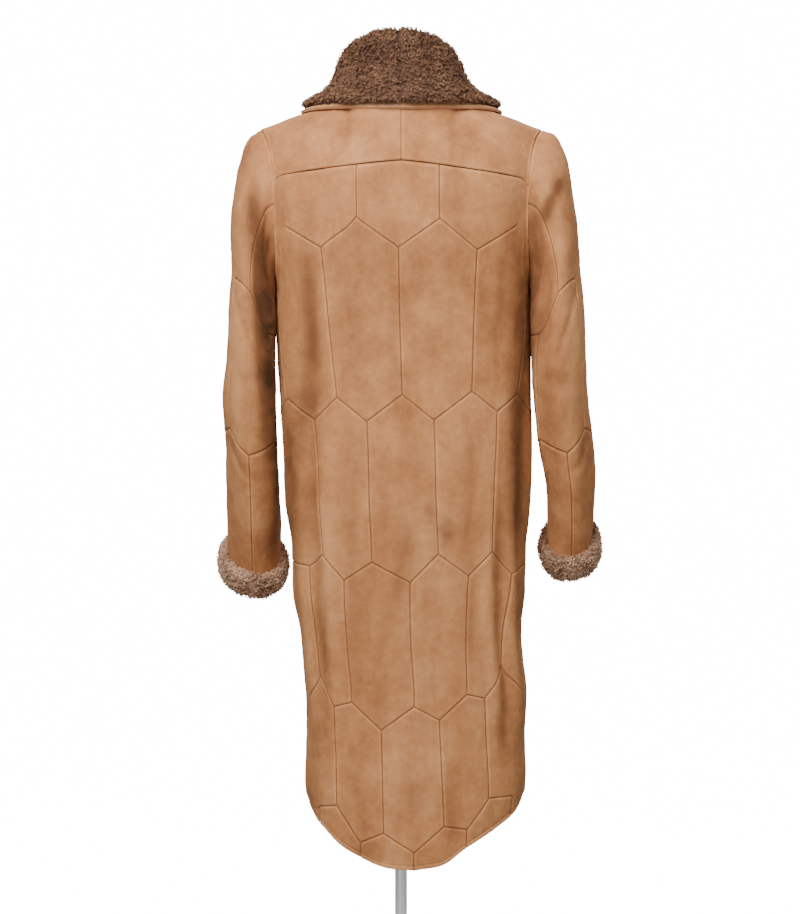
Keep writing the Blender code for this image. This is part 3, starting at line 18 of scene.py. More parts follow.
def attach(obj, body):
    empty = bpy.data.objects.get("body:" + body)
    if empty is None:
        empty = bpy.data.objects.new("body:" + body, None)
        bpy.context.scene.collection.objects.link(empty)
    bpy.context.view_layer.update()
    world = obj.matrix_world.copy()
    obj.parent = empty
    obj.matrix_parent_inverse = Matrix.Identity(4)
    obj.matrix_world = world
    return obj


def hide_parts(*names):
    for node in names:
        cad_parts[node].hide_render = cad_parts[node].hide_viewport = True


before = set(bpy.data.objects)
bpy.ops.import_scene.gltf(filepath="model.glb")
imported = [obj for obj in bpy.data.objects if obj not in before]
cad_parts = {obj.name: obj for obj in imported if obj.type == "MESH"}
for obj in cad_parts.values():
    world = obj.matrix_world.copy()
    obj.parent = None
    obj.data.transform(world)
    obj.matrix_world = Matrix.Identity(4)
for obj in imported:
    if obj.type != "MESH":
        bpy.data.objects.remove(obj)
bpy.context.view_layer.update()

bl_info = {
    "name": "Patchwork Shearling Coat",
    "version": (1, 0, 0),
    "blender": (4, 5, 0),
    "location": "View3D > Sidebar > Shearling",
    "description": "Dresses a patchwork shearling coat and its dress form",
    "category": "Object",
}

# Driving dimensions
MM = 0.001
WALL = 6.0  # suede with its short wool inside
SEAM_GAP = 0.4  # between two panels' edges
YOKE_SEAM_PART = 0.45  # how far the yoke's and the back's edges step back from their seam
SEAM_Q_PART = 0.0022  # the same for their corners at the armhole, as a share of its edge
HEAD_PART = 0.8  # between the armhole's edge and the sleeve's head
CHEST = 1300.0  # height where the rings end and the columns start
CLIMB = 180.0  # level units in one whole column
TOP = CHEST + CLIMB
ARMPIT = 1180.0
ARMHOLE_HALF_DEPTH = 64.0
TIP_X, TIP_Z = 211.0, 1408.0  # shoulder tip
NECK_X, NECK_Z = 80.0, 1456.0  # neck point on the shoulder line
NECK_BACK, NECK_FRONT, NECK_DROP = 62.0, 68.0, 70.0
OVERLAP = 30.0  # how far each front passes the centre front
OVERLAP_STEP = 4.3  # the upper front stands out by this much, and the lower one in
OVERLAP_BLEND = 85.0
GROOVE_HALF = 7.0  # from a seam to the outer edge of its groove
SEAM_DIP = 1.5  # groove at the armhole, yoke and shoulder seams
TIP_BLEND = 0.08  # share of the armhole below the shoulder tip where its dip turns to face down
ZIGZAG_COUNT = 5
EDGE = 5.0  # the lattice column at a panel's side
NECK_COLUMN = {"back": 1.38, "front": 1.57}  # the lattice column that climbs to the neck point

# The skin's level rings: half widths to the wearer's left and right, depths, and the rings' squareness
RING_COLUMNS = "z left right back front power"
RINGS = (
    (280, 134, 172, 112, 112, 2.4),
    (360, 138, 180, 113, 113, 2.4),
    (432, 143, 187, 114, 114, 2.4),
    (500, 141, 186, 114, 115, 2.4),
    (567, 143, 189, 114, 116, 2.4),
    (612, 147, 184, 114, 117, 2.4),
    (657, 151, 181, 114, 118, 2.4),
    (702, 160, 186, 114, 118, 2.4),
    (792, 164, 188, 113, 118, 2.4),
    (837, 172, 193, 112, 118, 2.4),
    (927, 176, 196, 110, 118, 2.4),
    (1040, 182, 195, 106, 120, 2.4),
    (1110, 185, 193, 107, 124, 2.45),
    (1180, 188, 193, 111, 128, 2.5),
    (1240, 200, 202, 116, 128, 2.6),
    (1300, 207, 207, 117, 125, 2.6),
)

# Heights of the zigzag seams' points on the odd and even lattice columns of the fronts and at the side seams
ZIGZAGS = ((1277, 1228), (970, 1006), (760, 728), (508, 542), (354, 324))
# The back's zigzags at lattice columns -4 to 4, from the wearer's right to the left: how far each point lies
# to the left of the centre, and its height
BACK_LATTICE = tuple(range(-5, 6))
BACK_WAYS = (
    (-268, -232, -180, -113, -57, 5, 69, 122, 180, 232, 268),
    (-226, -178, -138, -99, -40, 6, 60, 104, 142, 196, 243),
    (-215, -163, -127, -89, -43, -1, 56, 99, 131, 162, 207),
    (-195, -142, -103, -75, -34, 4, 52, 99, 127, 156, 197),
    (-205, -158, -113, -78, -43, 1, 47, 82, 121, 158, 205),
)
BACK_HEIGHTS = (
    (1277, 1236, 1260, 1222, 1268, 1225, 1271, 1225, 1258, 1236, 1277),
    (970, 1010, 982, 1012, 969, 1007, 967, 1003, 970, 1002, 970),
    (760, 740, 774, 738, 770, 728, 758, 731, 769, 752, 760),
    (508, 604, 556, 562, 524, 544, 509, 550, 543, 588, 508),
    (354, 409, 407, 361, 366, 327, 356, 342, 396, 393, 354),
)
SIDE_COLUMN = 3  # lattice column by the side seam, plain in the top row
FRONT_PITCH = 50.0
YOKE_Z = 1355.0  # yoke seam at the centre back
YOKE_DROP = {1: 31.0, -1: 37.0}  # its fall towards the left and the right armhole

# The hem's height by the share of the way from the centre to the side
HEM_COLUMNS = "share left right front"
HEM = (
    (0.0, 301, 301, 330),
    (0.2, 305, 311, 332),
    (0.35, 317, 335, 338),
    (0.5, 336, 354, 350),
    (0.65, 362, 373, 368),
    (0.8, 383, 392, 388),
    (0.9, 402, 408, 405),
    (1.0, 424, 424, 424),
)

# Long soft folds: across at the upper and lower end (from the centre line, wearer's left positive), heights,
# half width and height over the skin (a trough is negative)
FOLD_COLUMNS = "s_top s_low z_top z_low half rise"
BACK_FOLDS = (
    (150, 132, 1215, 985, 15, -6),
    (122, 128, 985, 470, 15, 6),
    (150, 152, 960, 520, 13, -6),
    (180, 178, 800, 500, 13, 4),
    (-196, -192, 1010, 740, 18, -7),
    (-118, -122, 800, 450, 12, 4),
    (-142, -145, 840, 440, 12, -6),
    (-168, -168, 800, 470, 12, 5),
    (60, 72, 1200, 1040, 20, -3),
    (-95, -80, 1230, 1060, 18, -3),
    (20, 30, 560, 380, 24, 3),
    (-60, -62, 470, 320, 14, -5),
)
FRONT_FOLDS = (
    (120, 150, 1230, 1010, 18, -6),
    (-125, -155, 1240, 990, 18, -6),
    (175, 168, 960, 520, 16, 5),
    (140, 138, 900, 470, 14, -6),
    (-135, -132, 930, 480, 15, -6),
    (-170, -175, 880, 500, 15, 6),
    (200, 204, 820, 560, 12, -4),
    (-80, -88, 620, 400, 16, 4),
    (90, 98, 600, 400, 15, -4),
)

# Sleeves: rings through an outer and an inner point, their middle's y, half depth and the plane's lean
SLEEVE_COLUMNS = "station out_x out_z in_x in_z mid_y depth lean"
SLEEVES = {
    "left": (
        (0, 211, 1408, 187.5, 1180, 0, 64, 0),
        (1, 231, 1395, 189.5, 1172, 0, 66, 0),
        (2, 243, 1361, 190.5, 1160, 0, 70, 2),
        (3, 251, 1316, 191, 1142, -1, 75, 3),
        (4, 257, 1262, 190.5, 1120, -2, 79, 4),
        (5, 256, 1200, 190.5, 1090, -4, 80, 6),
        (6, 260.5, 1135, 189.5, 1055, -6, 79, 8),
        (7, 263, 1065, 188, 1015, -10, 76, 11),
        (8, 269, 1000, 187, 970, -17, 73, 15),
        (9, 266, 935, 185, 915, -28, 69, 20),
        (10, 266, 890, 183, 875, -40, 66, 25),
        (11, 265, 835, 182, 822, -58, 61, 30),
        (12, 263, 775, 183, 763, -80, 57, 33),
    ),
    "right": (
        (0, 211, 1408, 192, 1180, 0, 64, 0),
        (1, 234, 1398, 194, 1172, 0, 66, 0),
        (2, 250, 1362, 195.5, 1160, 0, 70, 2),
        (3, 258, 1316, 196.5, 1142, -1, 75, 3),
        (4, 267, 1262, 197, 1120, -2, 79, 4),
        (5, 270, 1200, 197.5, 1090, -3, 80, 6),
        (6, 276, 1135, 198, 1055, -4, 79, 8),
        (7, 280, 1065, 199, 1015, -7, 76, 11),
        (8, 283, 1000, 202, 970, -13, 73, 15),
        (9, 290, 935, 208, 925, -22, 69, 20),
        (10, 294, 890, 216, 888, -32, 66, 25),
        (11, 293, 842, 221, 839, -46, 61, 30),
        (12, 290, 797, 222, 791, -62, 57, 33),
    ),
}
SLEEVE_BLEND = 4.0  # stations over which the armhole's outline becomes the plain ring
SLEEVE_LATTICE = 8  # lattice columns round a sleeve
SLEEVE_ZIGZAGS = ((5.0, 4.6), (8.4, 8.75))  # stations of the odd and even columns
SLEEVE_SLANT = 0.85  # a distance straight off a sleeve's zigzag, over that along the sleeve
SLEEVE_PITCH = 46.0  # between lattice columns
STATION_LONG, STATION_MEAN = 64.0, 56.0  # about the longest and the mean station, down the sleeve's outside
SLEEVE_END = 12.0
SLEEVE_SQUARENESS = 2.15
# Sleeve creases: share round the sleeve and station at each end, half width and rise
SLEEVE_FOLD_COLUMNS = "g_top g_low v_top v_low half rise"
SLEEVE_FOLDS = (
    (0.42, 0.36, 1.5, 11.0, 0.045, 5),
    (0.30, 0.33, 1.6, 6.0, 0.05, -4),
    (0.14, 0.16, 6.6, 11.4, 0.045, -3),
    (0.72, 0.66, 4.0, 10.0, 0.055, 4),
    (0.84, 0.80, 5.0, 9.6, 0.05, -4),
)

# Collar by the angle round the neck from the centre back: top of the wool, the edge's place on the skin
# (share of the shoulder's half width, and way up the back column, or 2 less the way up the front one),
# thickness of hide and wool, and how far the fall rounds over the chest instead of sloping in
COLLAR_COLUMNS = "angle top share climb thick round"
COLLAR = (
    (0, 1556, 0.0, 0.635, 16, 0.2),
    (25, 1552, 0.21, 0.63, 16, 0.2),
    (45, 1542, 0.40, 0.655, 15, 0.15),
    (65, 1528, 0.58, 0.77, 13, 0.1),
    (80, 1515, 0.67, 0.91, 11, 0.05),
    (90, 1505, 0.71, 1.0, 10.5, 0.1),
    (102, 1490, 0.73, 1.10, 11, 0.4),
    (118, 1468, 0.66, 1.28, 12, 0.8),
    (135, 1448, 0.53, 1.45, 12, 1.0),
    (150, 1436, 0.40, 1.60, 12, 1.0),
    (160, 1430, 0.30, 1.70, 12, 1.0),
)
COLLAR_END, COLLAR_SECTIONS = 155.0, 39
COLLAR_SEAT = 0.45  # above the neck edge
COLLAR_CLEAR = 2.8  # least height of the fall over the body
COLLAR_BESIDE = 6.0  # how far to each side of a section the body is looked at
COLLAR_STAND_REACH = 8.0  # how far in from the neck edge the body is kept clear
COLLAR_FOLD = 3.0  # radius inside the fold
COLLAR_SWELL = np.array([0.0, 0.0, 1.5, 5.0, 6.5])  # how much thicker the wool gets down the fall
COLLAR_LEAN = 0.04  # how much the collar leans to the wearer's left as it rises
BINDING_WIDTH, BINDING_THICK = 15.0, 5.0

# Cuff section: out from the sleeve's outer surface, and along from its end
CUFF_SECTION = (
    (-5.6, 0.4), (-8.0, 12.0), (-8.0, 32.0), (-3.0, 43.0), (5.0, 44.0),
    (12.0, 34.0), (13.5, 20.0), (12.0, 7.0), (8.0, 0.4),
)
CUFF_HALF = 11.0  # about half the thickness of the cuff's wool

BUTTON_RADIUS = 14.0
BUTTON_HEIGHTS = (1290.0, 1160.0, 1030.0, 900.0, 770.0)
# Places of the nap painted darker or lighter: real worn and handled places, painted shade in the troughs,
# down the sides and over the lower back, and painted light where the strength is negative. Each row: the
# middle's x and height, half width, half height and strength
BACK_WEAR_AND_SHADING = (
    (0, 730, 210, 240, 0.2),
    (139, 1152, 14, 54, 0.74),
    (136, 1070, 12, 72, 0.94),
    (128, 1000, 9, 55, 0.3),
    (165, 897, 12, 90, 1.08),
    (163, 784, 10, 45, 0.54),
    (149, 957, 10, 60, 0.34),
    (-182, 1107, 14, 90, 1.22),
    (-174, 957, 14, 93, 1.28),
    (-179, 844, 14, 63, 0.94),
    (-148, 1158, 8, 63, 0.47),
    (-4, 784, 14, 39, 0.57),
    (6, 724, 12, 27, 0.34),
    (-68, 804, 15, 21, 0.68),
    (-44, 830, 10, 18, 0.54),
    (140, 994, 18, 24, 0.47),
    (-102, 897, 8, 90, 0.34),
    (53, 330, 26, 14, 0.47),
    (-21, 414, 30, 27, 0.3),
    (-90, 440, 21, 18, 0.27),
    (111, 642, 8, 90, 0.47),
    (-142, 762, 8, 68, 0.41),
    (-102, 642, 8, 90, 0.3),
    (-170, 1302, 9, 60, 0.41),
    (74, 822, 9, 75, 0.24),
    (34, 1107, 15, 60, 0.16),
    (-58, 1242, 15, 60, 0.14),
    (65, 702, 14, 60, 0.16),
    (-43, 552, 18, 60, 0.14),
    (72, 417, 15, 60, 0.2),
)
# The left sleeve: painted shade down its inner side and in its creases, and painted light down its outer side
# (negative strength), with some real wear
LEFT_SLEEVE_WEAR_AND_SHADING = (
    (222, 1270, 11, 50, 1.2),
    (207, 1232, 13, 50, 1.3),
    (203, 1160, 18, 64, 1.75),
    (200, 1070, 17, 76, 2.0),
    (195, 970, 15, 90, 1.6),
    (249, 1050, 11, 170, -0.95),
    (182, 882, 9, 60, 1.22),
    (238, 1362, 12, 30, 0.2),
    (250, 1152, 8, 120, 0.27),
    (197, 784, 15, 30, 0.54),
    (244, 747, 15, 18, 0.41),
)
# The right sleeve: painted shade down its inner side and a painted shadow in the diagonal crease below the
# shoulder, and painted light down its outer side (negative strength), with some real wear
RIGHT_SLEEVE_WEAR_AND_SHADING = (
    (-197, 1250, 12, 51, 1.08),
    (-198, 1167, 12, 51, 1.35),
    (-199, 1092, 10, 45, 1.22),
    (-238, 1323, 8, 15, 1.08),
    (-230, 1308, 8, 15, 1.08),
    (-223, 1292, 8, 15, 1.08),
    (-216, 1275, 9, 18, 1.08),
    (-264, 1080, 15, 150, -1.1),
    (-238, 1200, 10, 60, -0.6),
    (-217, 1002, 8, 90, 0.34),
    (-257, 762, 12, 30, 0.54),
    (-229, 882, 12, 60, 0.2),
)
# Faint pressed lines over the yoke, as points of x and height
PRESSED_LINES = (
    ((168, 1365), (142, 1382), (120, 1398), (96, 1380), (72, 1410)),
    ((89, 1360), (61, 1388), (37, 1377), (10, 1398)),
    ((-4, 1377), (-34, 1398), (-55, 1388), (-75, 1410)),
    ((-68, 1362), (-108, 1389), (-127, 1396), (-146, 1378), (-170, 1362)),
)

BESIDE = GROOVE_HALF / FRONT_PITCH
ANCHOR = SIDE_COLUMN + BESIDE
ARMPIT_ROW = (ZIGZAGS[0][0] - ARMPIT) / (ZIGZAGS[0][0] - ZIGZAGS[1][0])
LAST_LINE = ZIGZAG_COUNT + 1

# Further, shorter creases of the sleeves, in the same columns
SLEEVE_CREASES = (
    (0.33, 0.42, 0.6, 3.4, 0.035, -5.0),
    (0.22, 0.36, 0.3, 2.6, 0.03, -3.5),
    (0.30, 0.40, 3.8, 5.4, 0.03, -3.0),
    (0.12, 0.30, 5.2, 6.4, 0.028, -2.5),
    (0.36, 0.20, 6.3, 7.4, 0.028, -2.5),
    (0.10, 0.26, 8.6, 9.5, 0.03, -2.2),
    (0.62, 0.80, 1.2, 3.0, 0.035, -4.0),
    (0.66, 0.55, 4.4, 6.0, 0.03, -3.0),
)


def smooth(x):
    """0 below 0, 1 above 1 and an even slope between."""
    x = np.clip(x, 0.0, 1.0)
    return x * x * (3.0 - 2.0 * x)


def unit(v):
    """Vectors made one unit long."""
    return v / np.maximum(np.linalg.norm(v, axis=-1, keepdims=True), 1e-9)


def read_grid(grid, row, col):
    """A grid's values at whole or part rows and columns."""
    i, j = row.astype(int), col.astype(int)
    fi, fj = row - i, col - j
    low = grid[i, j] * (1 - fj) + grid[i, j + 1] * fj
    high = grid[i + 1, j] * (1 - fj) + grid[i + 1, j + 1] * fj
    return low * (1 - fi) + high * fi


def bell(x):
    """1 at 0, falling away evenly on both sides."""
    return np.exp(-(x**2))


def run_along(points):
    """The way along a line of points to each of them."""
    return np.concatenate([[0.0], np.cumsum(np.linalg.norm(np.diff(points, axis=0), axis=1))])


def stack(*parts):
    """Coordinates joined into points."""
    return np.stack(np.broadcast_arrays(*parts), axis=-1)


class Table:
    """Rows of named columns, read as smooth curves of the first column."""

    def __init__(self, columns, rows):
        names = columns.split()
        self.data = dict(zip(names, np.array(rows, float).T))
        self.key = self.data[names[0]]
        if self.key[0] > self.key[-1]:
            raise ValueError("a table's first column rises")

    def at(self, name, x):
        keys, values = self.key, self.data[name]
        slopes = np.gradient(values, keys)
        x = np.clip(x, keys[0], keys[-1])
        i = np.clip(np.searchsorted(keys, x, side="right") - 1, 0, len(keys) - 2)
        step = keys[i + 1] - keys[i]
        t = (x - keys[i]) / step
        rest = 1.0 - t
        start = rest * rest * ((1.0 + 2.0 * t) * values[i] + t * step * slopes[i])
        return start + t * t * ((3.0 - 2.0 * t) * values[i + 1] - rest * step * slopes[i + 1])


class Torso:
    """The coat's skin: rings up to CHEST and columns above it."""

    SHARES = np.linspace(0.0, 1.0, 81)

    def __init__(self, rows, tip, neck):
        self.rings = Table(RING_COLUMNS, rows)
        self.tip_x, self.tip_z = tip
        self.neck_x, self.neck_z, self.neck_back, self.neck_front, self.neck_drop = neck
        self.heights = np.linspace(self.rings.key[0], CHEST, 70)
        self.angles, self.quarter = {}, {}
        for half in ("back", "front"):
            made = [self.measure(half, z) for z in self.heights]
            self.angles[half] = np.array([angles for angles, _ in made])
            self.quarter[half] = np.array([length for _, length in made])

    def shape(self, half, z):
        left, right = self.rings.at("left", z), self.rings.at("right", z)
        return 0.5 * (left - right), 0.5 * (left + right), self.rings.at(half, z), self.rings.at("power", z)

    def measure(self, half, z):
        """Angles at even shares of the way from the centre line to the side, and the way's length."""
        _, wide, deep, power = self.shape(half, z)
        angle = np.linspace(math.pi / 2, 0.0, 241)
        x, y = wide * np.cos(angle) ** (2 / power), deep * np.sin(angle) ** (2 / power)
        x[0] = 0.0
        way = np.concatenate([[0.0], np.cumsum(np.hypot(np.diff(x), np.diff(y)))])
        return np.interp(self.SHARES, way / way[-1], angle), way[-1]

    def quarter_length(self, half, z):
        return np.interp(z, self.heights, self.quarter[half])

    def angle_at(self, half, share, z):
        step = self.heights[1] - self.heights[0]
        row = np.clip((z - self.heights[0]) / step, 0, len(self.heights) - 1.001)
        return read_grid(self.angles[half], row, np.clip(share, 0, 1) * (len(self.SHARES) - 1.001))

    def share_at_x(self, half, x_share):
        """The share of the way to the side at which the top ring is this share of its half width out."""
        _, _, _, power = self.shape(half, CHEST)
        angles = self.angles[half][-1]
        return np.interp(x_share, np.cos(angles) ** (2 / power), self.SHARES)

    def column_top(self, half, across):
        """The shoulder and neck line, at this share of the shoulder's half width."""
        neck_share = self.neck_x / self.tip_x
        on_neck = across < neck_share
        r = np.clip(across / neck_share, 0, 1)
        arc = np.sqrt(1 - r * r)
        along = np.clip((across - neck_share) / (1 - neck_share), 0, 1)
        drop = self.neck_drop if half == "front" else 0.0
        depth = -self.neck_front if half == "front" else self.neck_back
        y = np.where(on_neck, depth * arc, 0.0)
        shoulder_z = self.neck_z + (self.tip_z - self.neck_z) * along
        z = np.where(on_neck, self.neck_z - drop * arc**2, shoulder_z)
        return self.tip_x * across, y, z

    def half_points(self, half, share, side, level):
        z = np.minimum(level, CHEST)
        middle, wide, deep, power = self.shape(half, z)
        angle = self.angle_at(half, share, z)
        across = np.clip(np.cos(angle), 0, 1) ** (2 / power)
        x = middle + side * wide * across
        y = deep * np.sin(angle) ** (2 / power) * (1 if half == "back" else -1)
        t = np.clip((level - CHEST) / CLIMB, 0, 1)
        top_x, top_y, top_z = self.column_top(half, across)
        bend = 1 - np.cos(0.5 * math.pi * t)
        rise = np.sin(0.5 * math.pi * t)
        return stack(x + (side * top_x - x) * bend, y + (top_y - y) * bend, z + (top_z - z) * rise)

    def point(self, turn, level):
        turn, level = np.broadcast_arrays(np.asarray(turn, float), np.asarray(level, float))
        turn = (turn + 2.0) % 4.0 - 2.0
        side = np.where(turn < 0, -1.0, 1.0)
        away = np.abs(turn)
        back = self.half_points("back", np.minimum(away, 1.0), side, level)
        front = self.half_points("front", np.minimum(2.0 - away, 1.0), side, level)
        return np.where((away <= 1.0)[..., None], back, front)

    def normal(self, turn, level):
        """Outward, from two short steps on the surface."""
        low, high = np.minimum(level, TOP - 0.6) - 0.4, np.minimum(level, TOP - 0.6) + 0.4
        up = self.point(turn, high) - self.point(turn, low)
        away = np.abs((np.asarray(turn, float) + 2.0) % 4.0 - 2.0)
        inside = np.where(away <= 1.0, np.clip(away, 0, 0.997), np.clip(away, 1.003, 2.0))
        near = np.where(np.asarray(turn) % 4.0 < 2.0, 1.0, -1.0) * inside
        span = self.point(near + 0.002, level) - self.point(near - 0.002, level)
        return unit(np.cross(up, span))


skin = Torso(RINGS, (TIP_X, TIP_Z), (NECK_X, NECK_Z, NECK_BACK, NECK_FRONT, NECK_DROP))


class Folds:
    """Soft ridges and troughs, each along a line, fading at its ends."""

    def __init__(self, columns, rows):
        self.rows = [dict(zip(columns.split(), row)) for row in rows]

    def rise(self, across, along, names):
        total = np.zeros(np.broadcast(across, along).shape)
        for row in self.rows:
            top, low = row[names[1] + "_top"], row[names[1] + "_low"]
            t = np.clip((along - top) / (low - top), 0, 1)
            line = row[names[0] + "_top"] + (row[names[0] + "_low"] - row[names[0] + "_top"]) * t
            off = (across - line) / row["half"]
            total = total + row["rise"] * np.sin(math.pi * t) ** 0.7 * np.exp(-off * off)
        return total


back_folds = Folds(FOLD_COLUMNS, BACK_FOLDS)
front_folds = Folds(FOLD_COLUMNS, FRONT_FOLDS)


def fold_rise(turn, level):
    """How far the folds move the skin out. They fade before the side seams and above the chest."""
    turn = (np.asarray(turn, float) + 2.0) % 4.0 - 2.0
    side = np.where(turn < 0, -1.0, 1.0)
    away = np.abs(turn)
    z = np.minimum(level, CHEST)
    back_way = skin.quarter_length("back", z)
    front_way = skin.quarter_length("front", z)
    back_s, front_s = away * back_way, (2.0 - away) * front_way
    back = back_folds.rise(side * back_s, level, ("s", "z")) * smooth((back_way - back_s) / 40)
    front = front_folds.rise(side * front_s, level, ("s", "z")) * smooth((front_way - front_s) / 40)
    return np.where(away <= 1.0, back, front) * smooth((CHEST + 40 - level) / 60)


def overlap_rise(turn, level, over):
    """The step of the closed front: over is +1 for the upper front, -1 for the lower one and 0 elsewhere."""
    past = (2.0 - np.abs(turn)) * skin.quarter_length("front", np.minimum(level, CHEST))
    return over * OVERLAP_STEP * (1 - smooth((past - OVERLAP) / OVERLAP_BLEND))


def zigzag(k, column, side):
    """Height of zigzag k (1 at the top) at a lattice column, whole or not, of a back side or a front (0)."""
    if side:
        return np.interp(side * np.asarray(column, float), BACK_LATTICE, BACK_HEIGHTS[k - 1])
    odd, even = ZIGZAGS[k - 1]
    off = np.abs(np.asarray(column, float)) % 2.0
    return even + (odd - even) * (1.0 - np.abs(off - 1.0))


def column_way(column, z, side):
    """Distance outwards from the centre line to a lattice column, of a back side or a front (0)."""
    column = np.asarray(column, float)
    if not side:
        return column * FRONT_PITCH
    ways = [side * np.interp(side * column, BACK_LATTICE, row) for row in BACK_WAYS]
    heights = [zigzag(k, column, side) for k in range(1, ZIGZAG_COUNT + 1)]
    way = ways[0]
    for k in range(1, ZIGZAG_COUNT):
        share = np.clip((heights[k - 1] - z) / (heights[k - 1] - heights[k]), 0, 1)
        way = way + (ways[k] - ways[k - 1]) * share
    return way


sleeve_creases = Folds(SLEEVE_FOLD_COLUMNS, SLEEVE_CREASES)
hem = Table(HEM_COLUMNS, HEM)


# Armholes


def armhole_places(half, count_levels):
    """(share, level) down the armhole's edge from levels in order, for one half of the body."""
    shares, levels = [], []
    for level in count_levels:
        if level < CHEST:
            drop = (CHEST - level) / (CHEST - ARMPIT)
            y = ARMHOLE_HALF_DEPTH * math.sqrt(max(0.0, 1 - drop * drop))
            shares.append(share_at_y(half, y, level))
        else:
            start = share_at_y(half, ARMHOLE_HALF_DEPTH, CHEST)
            t = (level - CHEST) / CLIMB
            shares.append(start + (1 - start) * t**2.5)
        levels.append(level)
    return np.array(shares), np.array(levels)


def share_at_y(half, y, z):
    """Share of the way to the side at which the ring is y away from the middle plane."""
    _, _, deep, power = skin.shape(half, z)
    angle = math.asin(min(1.0, (y / float(deep)) ** (float(power) / 2)))
    z = np.array([z], float)
    angles = np.array([float(skin.angle_at(half, np.array([s]), z)[0]) for s in Torso.SHARES])
    return float(np.interp(angle, angles[::-1], Torso.SHARES[::-1]))


def armhole_level(q):
    """Levels along the armhole's edge, from the armpit (0) to the shoulder tip (1), evenly spaced on it."""
    low = 0.5 * math.pi * np.linspace(0, 1, 60)
    places = [(CHEST - (CHEST - ARMPIT) * math.cos(a), ARMHOLE_HALF_DEPTH * math.sin(a)) for a in low]
    places += [(CHEST + (TIP_Z - CHEST) * math.sin(a), ARMHOLE_HALF_DEPTH * math.cos(a)) for a in low[1:]]
    levels = [CHEST - (CHEST - ARMPIT) * math.cos(a) for a in low]
    levels += [CHEST + CLIMB * a / (0.5 * math.pi) for a in low[1:]]
    places = np.array(places)
    way = run_along(places)
    return np.interp(q, way / way[-1], levels)


def armhole_share(level):
    """The way along the armhole's edge at which it reaches a level."""
    shares = np.linspace(0, 1, 200)
    return float(np.interp(level, armhole_level(shares), shares))


def armhole_inner(points):
    """Inner points of the armhole's edge, in towards the middle of the opening."""
    middle = 0.5 * (TIP_Z + ARMPIT)
    half = 0.5 * (TIP_Z - ARMPIT)
    towards = stack(
        np.zeros(len(points)),
        -points[:, 1] / ARMHOLE_HALF_DEPTH**2,
        -(points[:, 2] - middle) / half**2,
    )
    return points + unit(towards) * WALL * 1.15


def armhole_edge(half, side, q):
    """Outer and inner points of the armhole's edge at these shares of the way from armpit to shoulder tip."""
    q = np.asarray(q, float)
    shares, levels = armhole_places(half, armhole_level(q))
    turn = side * (shares if half == "back" else 2.0 - shares)
    on_slope = smooth((1 - q) / TIP_BLEND)[:, None]
    dip = skin.normal(turn, levels) * on_slope + np.array([0.0, 0.0, 1.0]) * (1 - on_slope)
    outer = skin.point(turn, levels) - unit(dip) * SEAM_DIP
    return outer, armhole_inner(outer)


def yoke_seam_level(side, column):
    """Level of the yoke seam at a lattice column."""
    share = np.abs(column_share("back", side, column, CHEST))
    _, _, _, power = skin.shape("back", CHEST)
    across = np.cos(skin.angle_at("back", share, np.full(share.shape, CHEST))) ** (2 / power)
    _, _, top_z = skin.column_top("back", across)
    z = YOKE_Z - YOKE_DROP[side] * share ** 1.15
    rise = np.clip((z - CHEST) / (top_z - CHEST), 0, 1)
    return CHEST + CLIMB * np.arcsin(rise) / (0.5 * math.pi)


def column_share(half, side, column, level):
    """Share of the way to the side, before the armhole pulls the outer columns in."""
    column, level = np.broadcast_arrays(np.asarray(column, float), np.asarray(level, float))
    z = np.minimum(level, CHEST)
    way = skin.quarter_length(half, z)
    share = column_way(column, z, side if half == "back" else 0) / way
    beyond = column > 4 + BESIDE + 1e-6
    last = column_share(half, side, np.full(level.shape, 4 + BESIDE), level) if beyond.any() else 0
    share = np.where(beyond, last + (1 - last) * (column - 4 - BESIDE) / (EDGE - 4 - BESIDE), share)
    if abs(float(np.ravel(column)[0]) - NECK_COLUMN[half]) < 1e-6 and column.size == 1:
        return share
    neck_share = skin.share_at_x(half, NECK_X / TIP_X)
    own = NECK_COLUMN[half]
    there = column_share(half, side, np.array([own]), CHEST)[0] if np.ndim(column) else 0.0
    near = np.clip(1 - np.abs(column - own) / 0.5, 0, 1)
    return share + (neck_share - there) * near * smooth((level - 1200) / 90)


def line_level(half, side, k, column):
    """Level of the top line (0), a zigzag or the hem at a lattice column."""
    hem_share = np.clip(column_share(half, side, column, 400.0), 0, 1)
    hem_column = "front" if half == "front" else ("left" if side > 0 else "right")
    low = hem.at(hem_column, hem_share)
    if k == LAST_LINE:
        return low
    if k == 0:
        return yoke_seam_level(side, column) if half == "back" else np.full(len(column), TOP)
    return np.maximum(zigzag(k, column, side if half == "back" else 0), low + 14)


def armpit_share(level, top):
    """Share of the armhole's edge, 0 at the armpit, for a row that meets it."""
    return np.clip((level - ARMPIT) / (top - ARMPIT), 0, 1)


def pulled(columns, free):
    """How far the armhole draws each column to its edge: 0 up to the anchor and 1 at the edge."""
    at_anchor = np.interp(ANCHOR, columns, free)
    return np.where(columns > ANCHOR + 1e-6, np.clip((free - at_anchor) / (1 - at_anchor), 0, 1), 0.0)


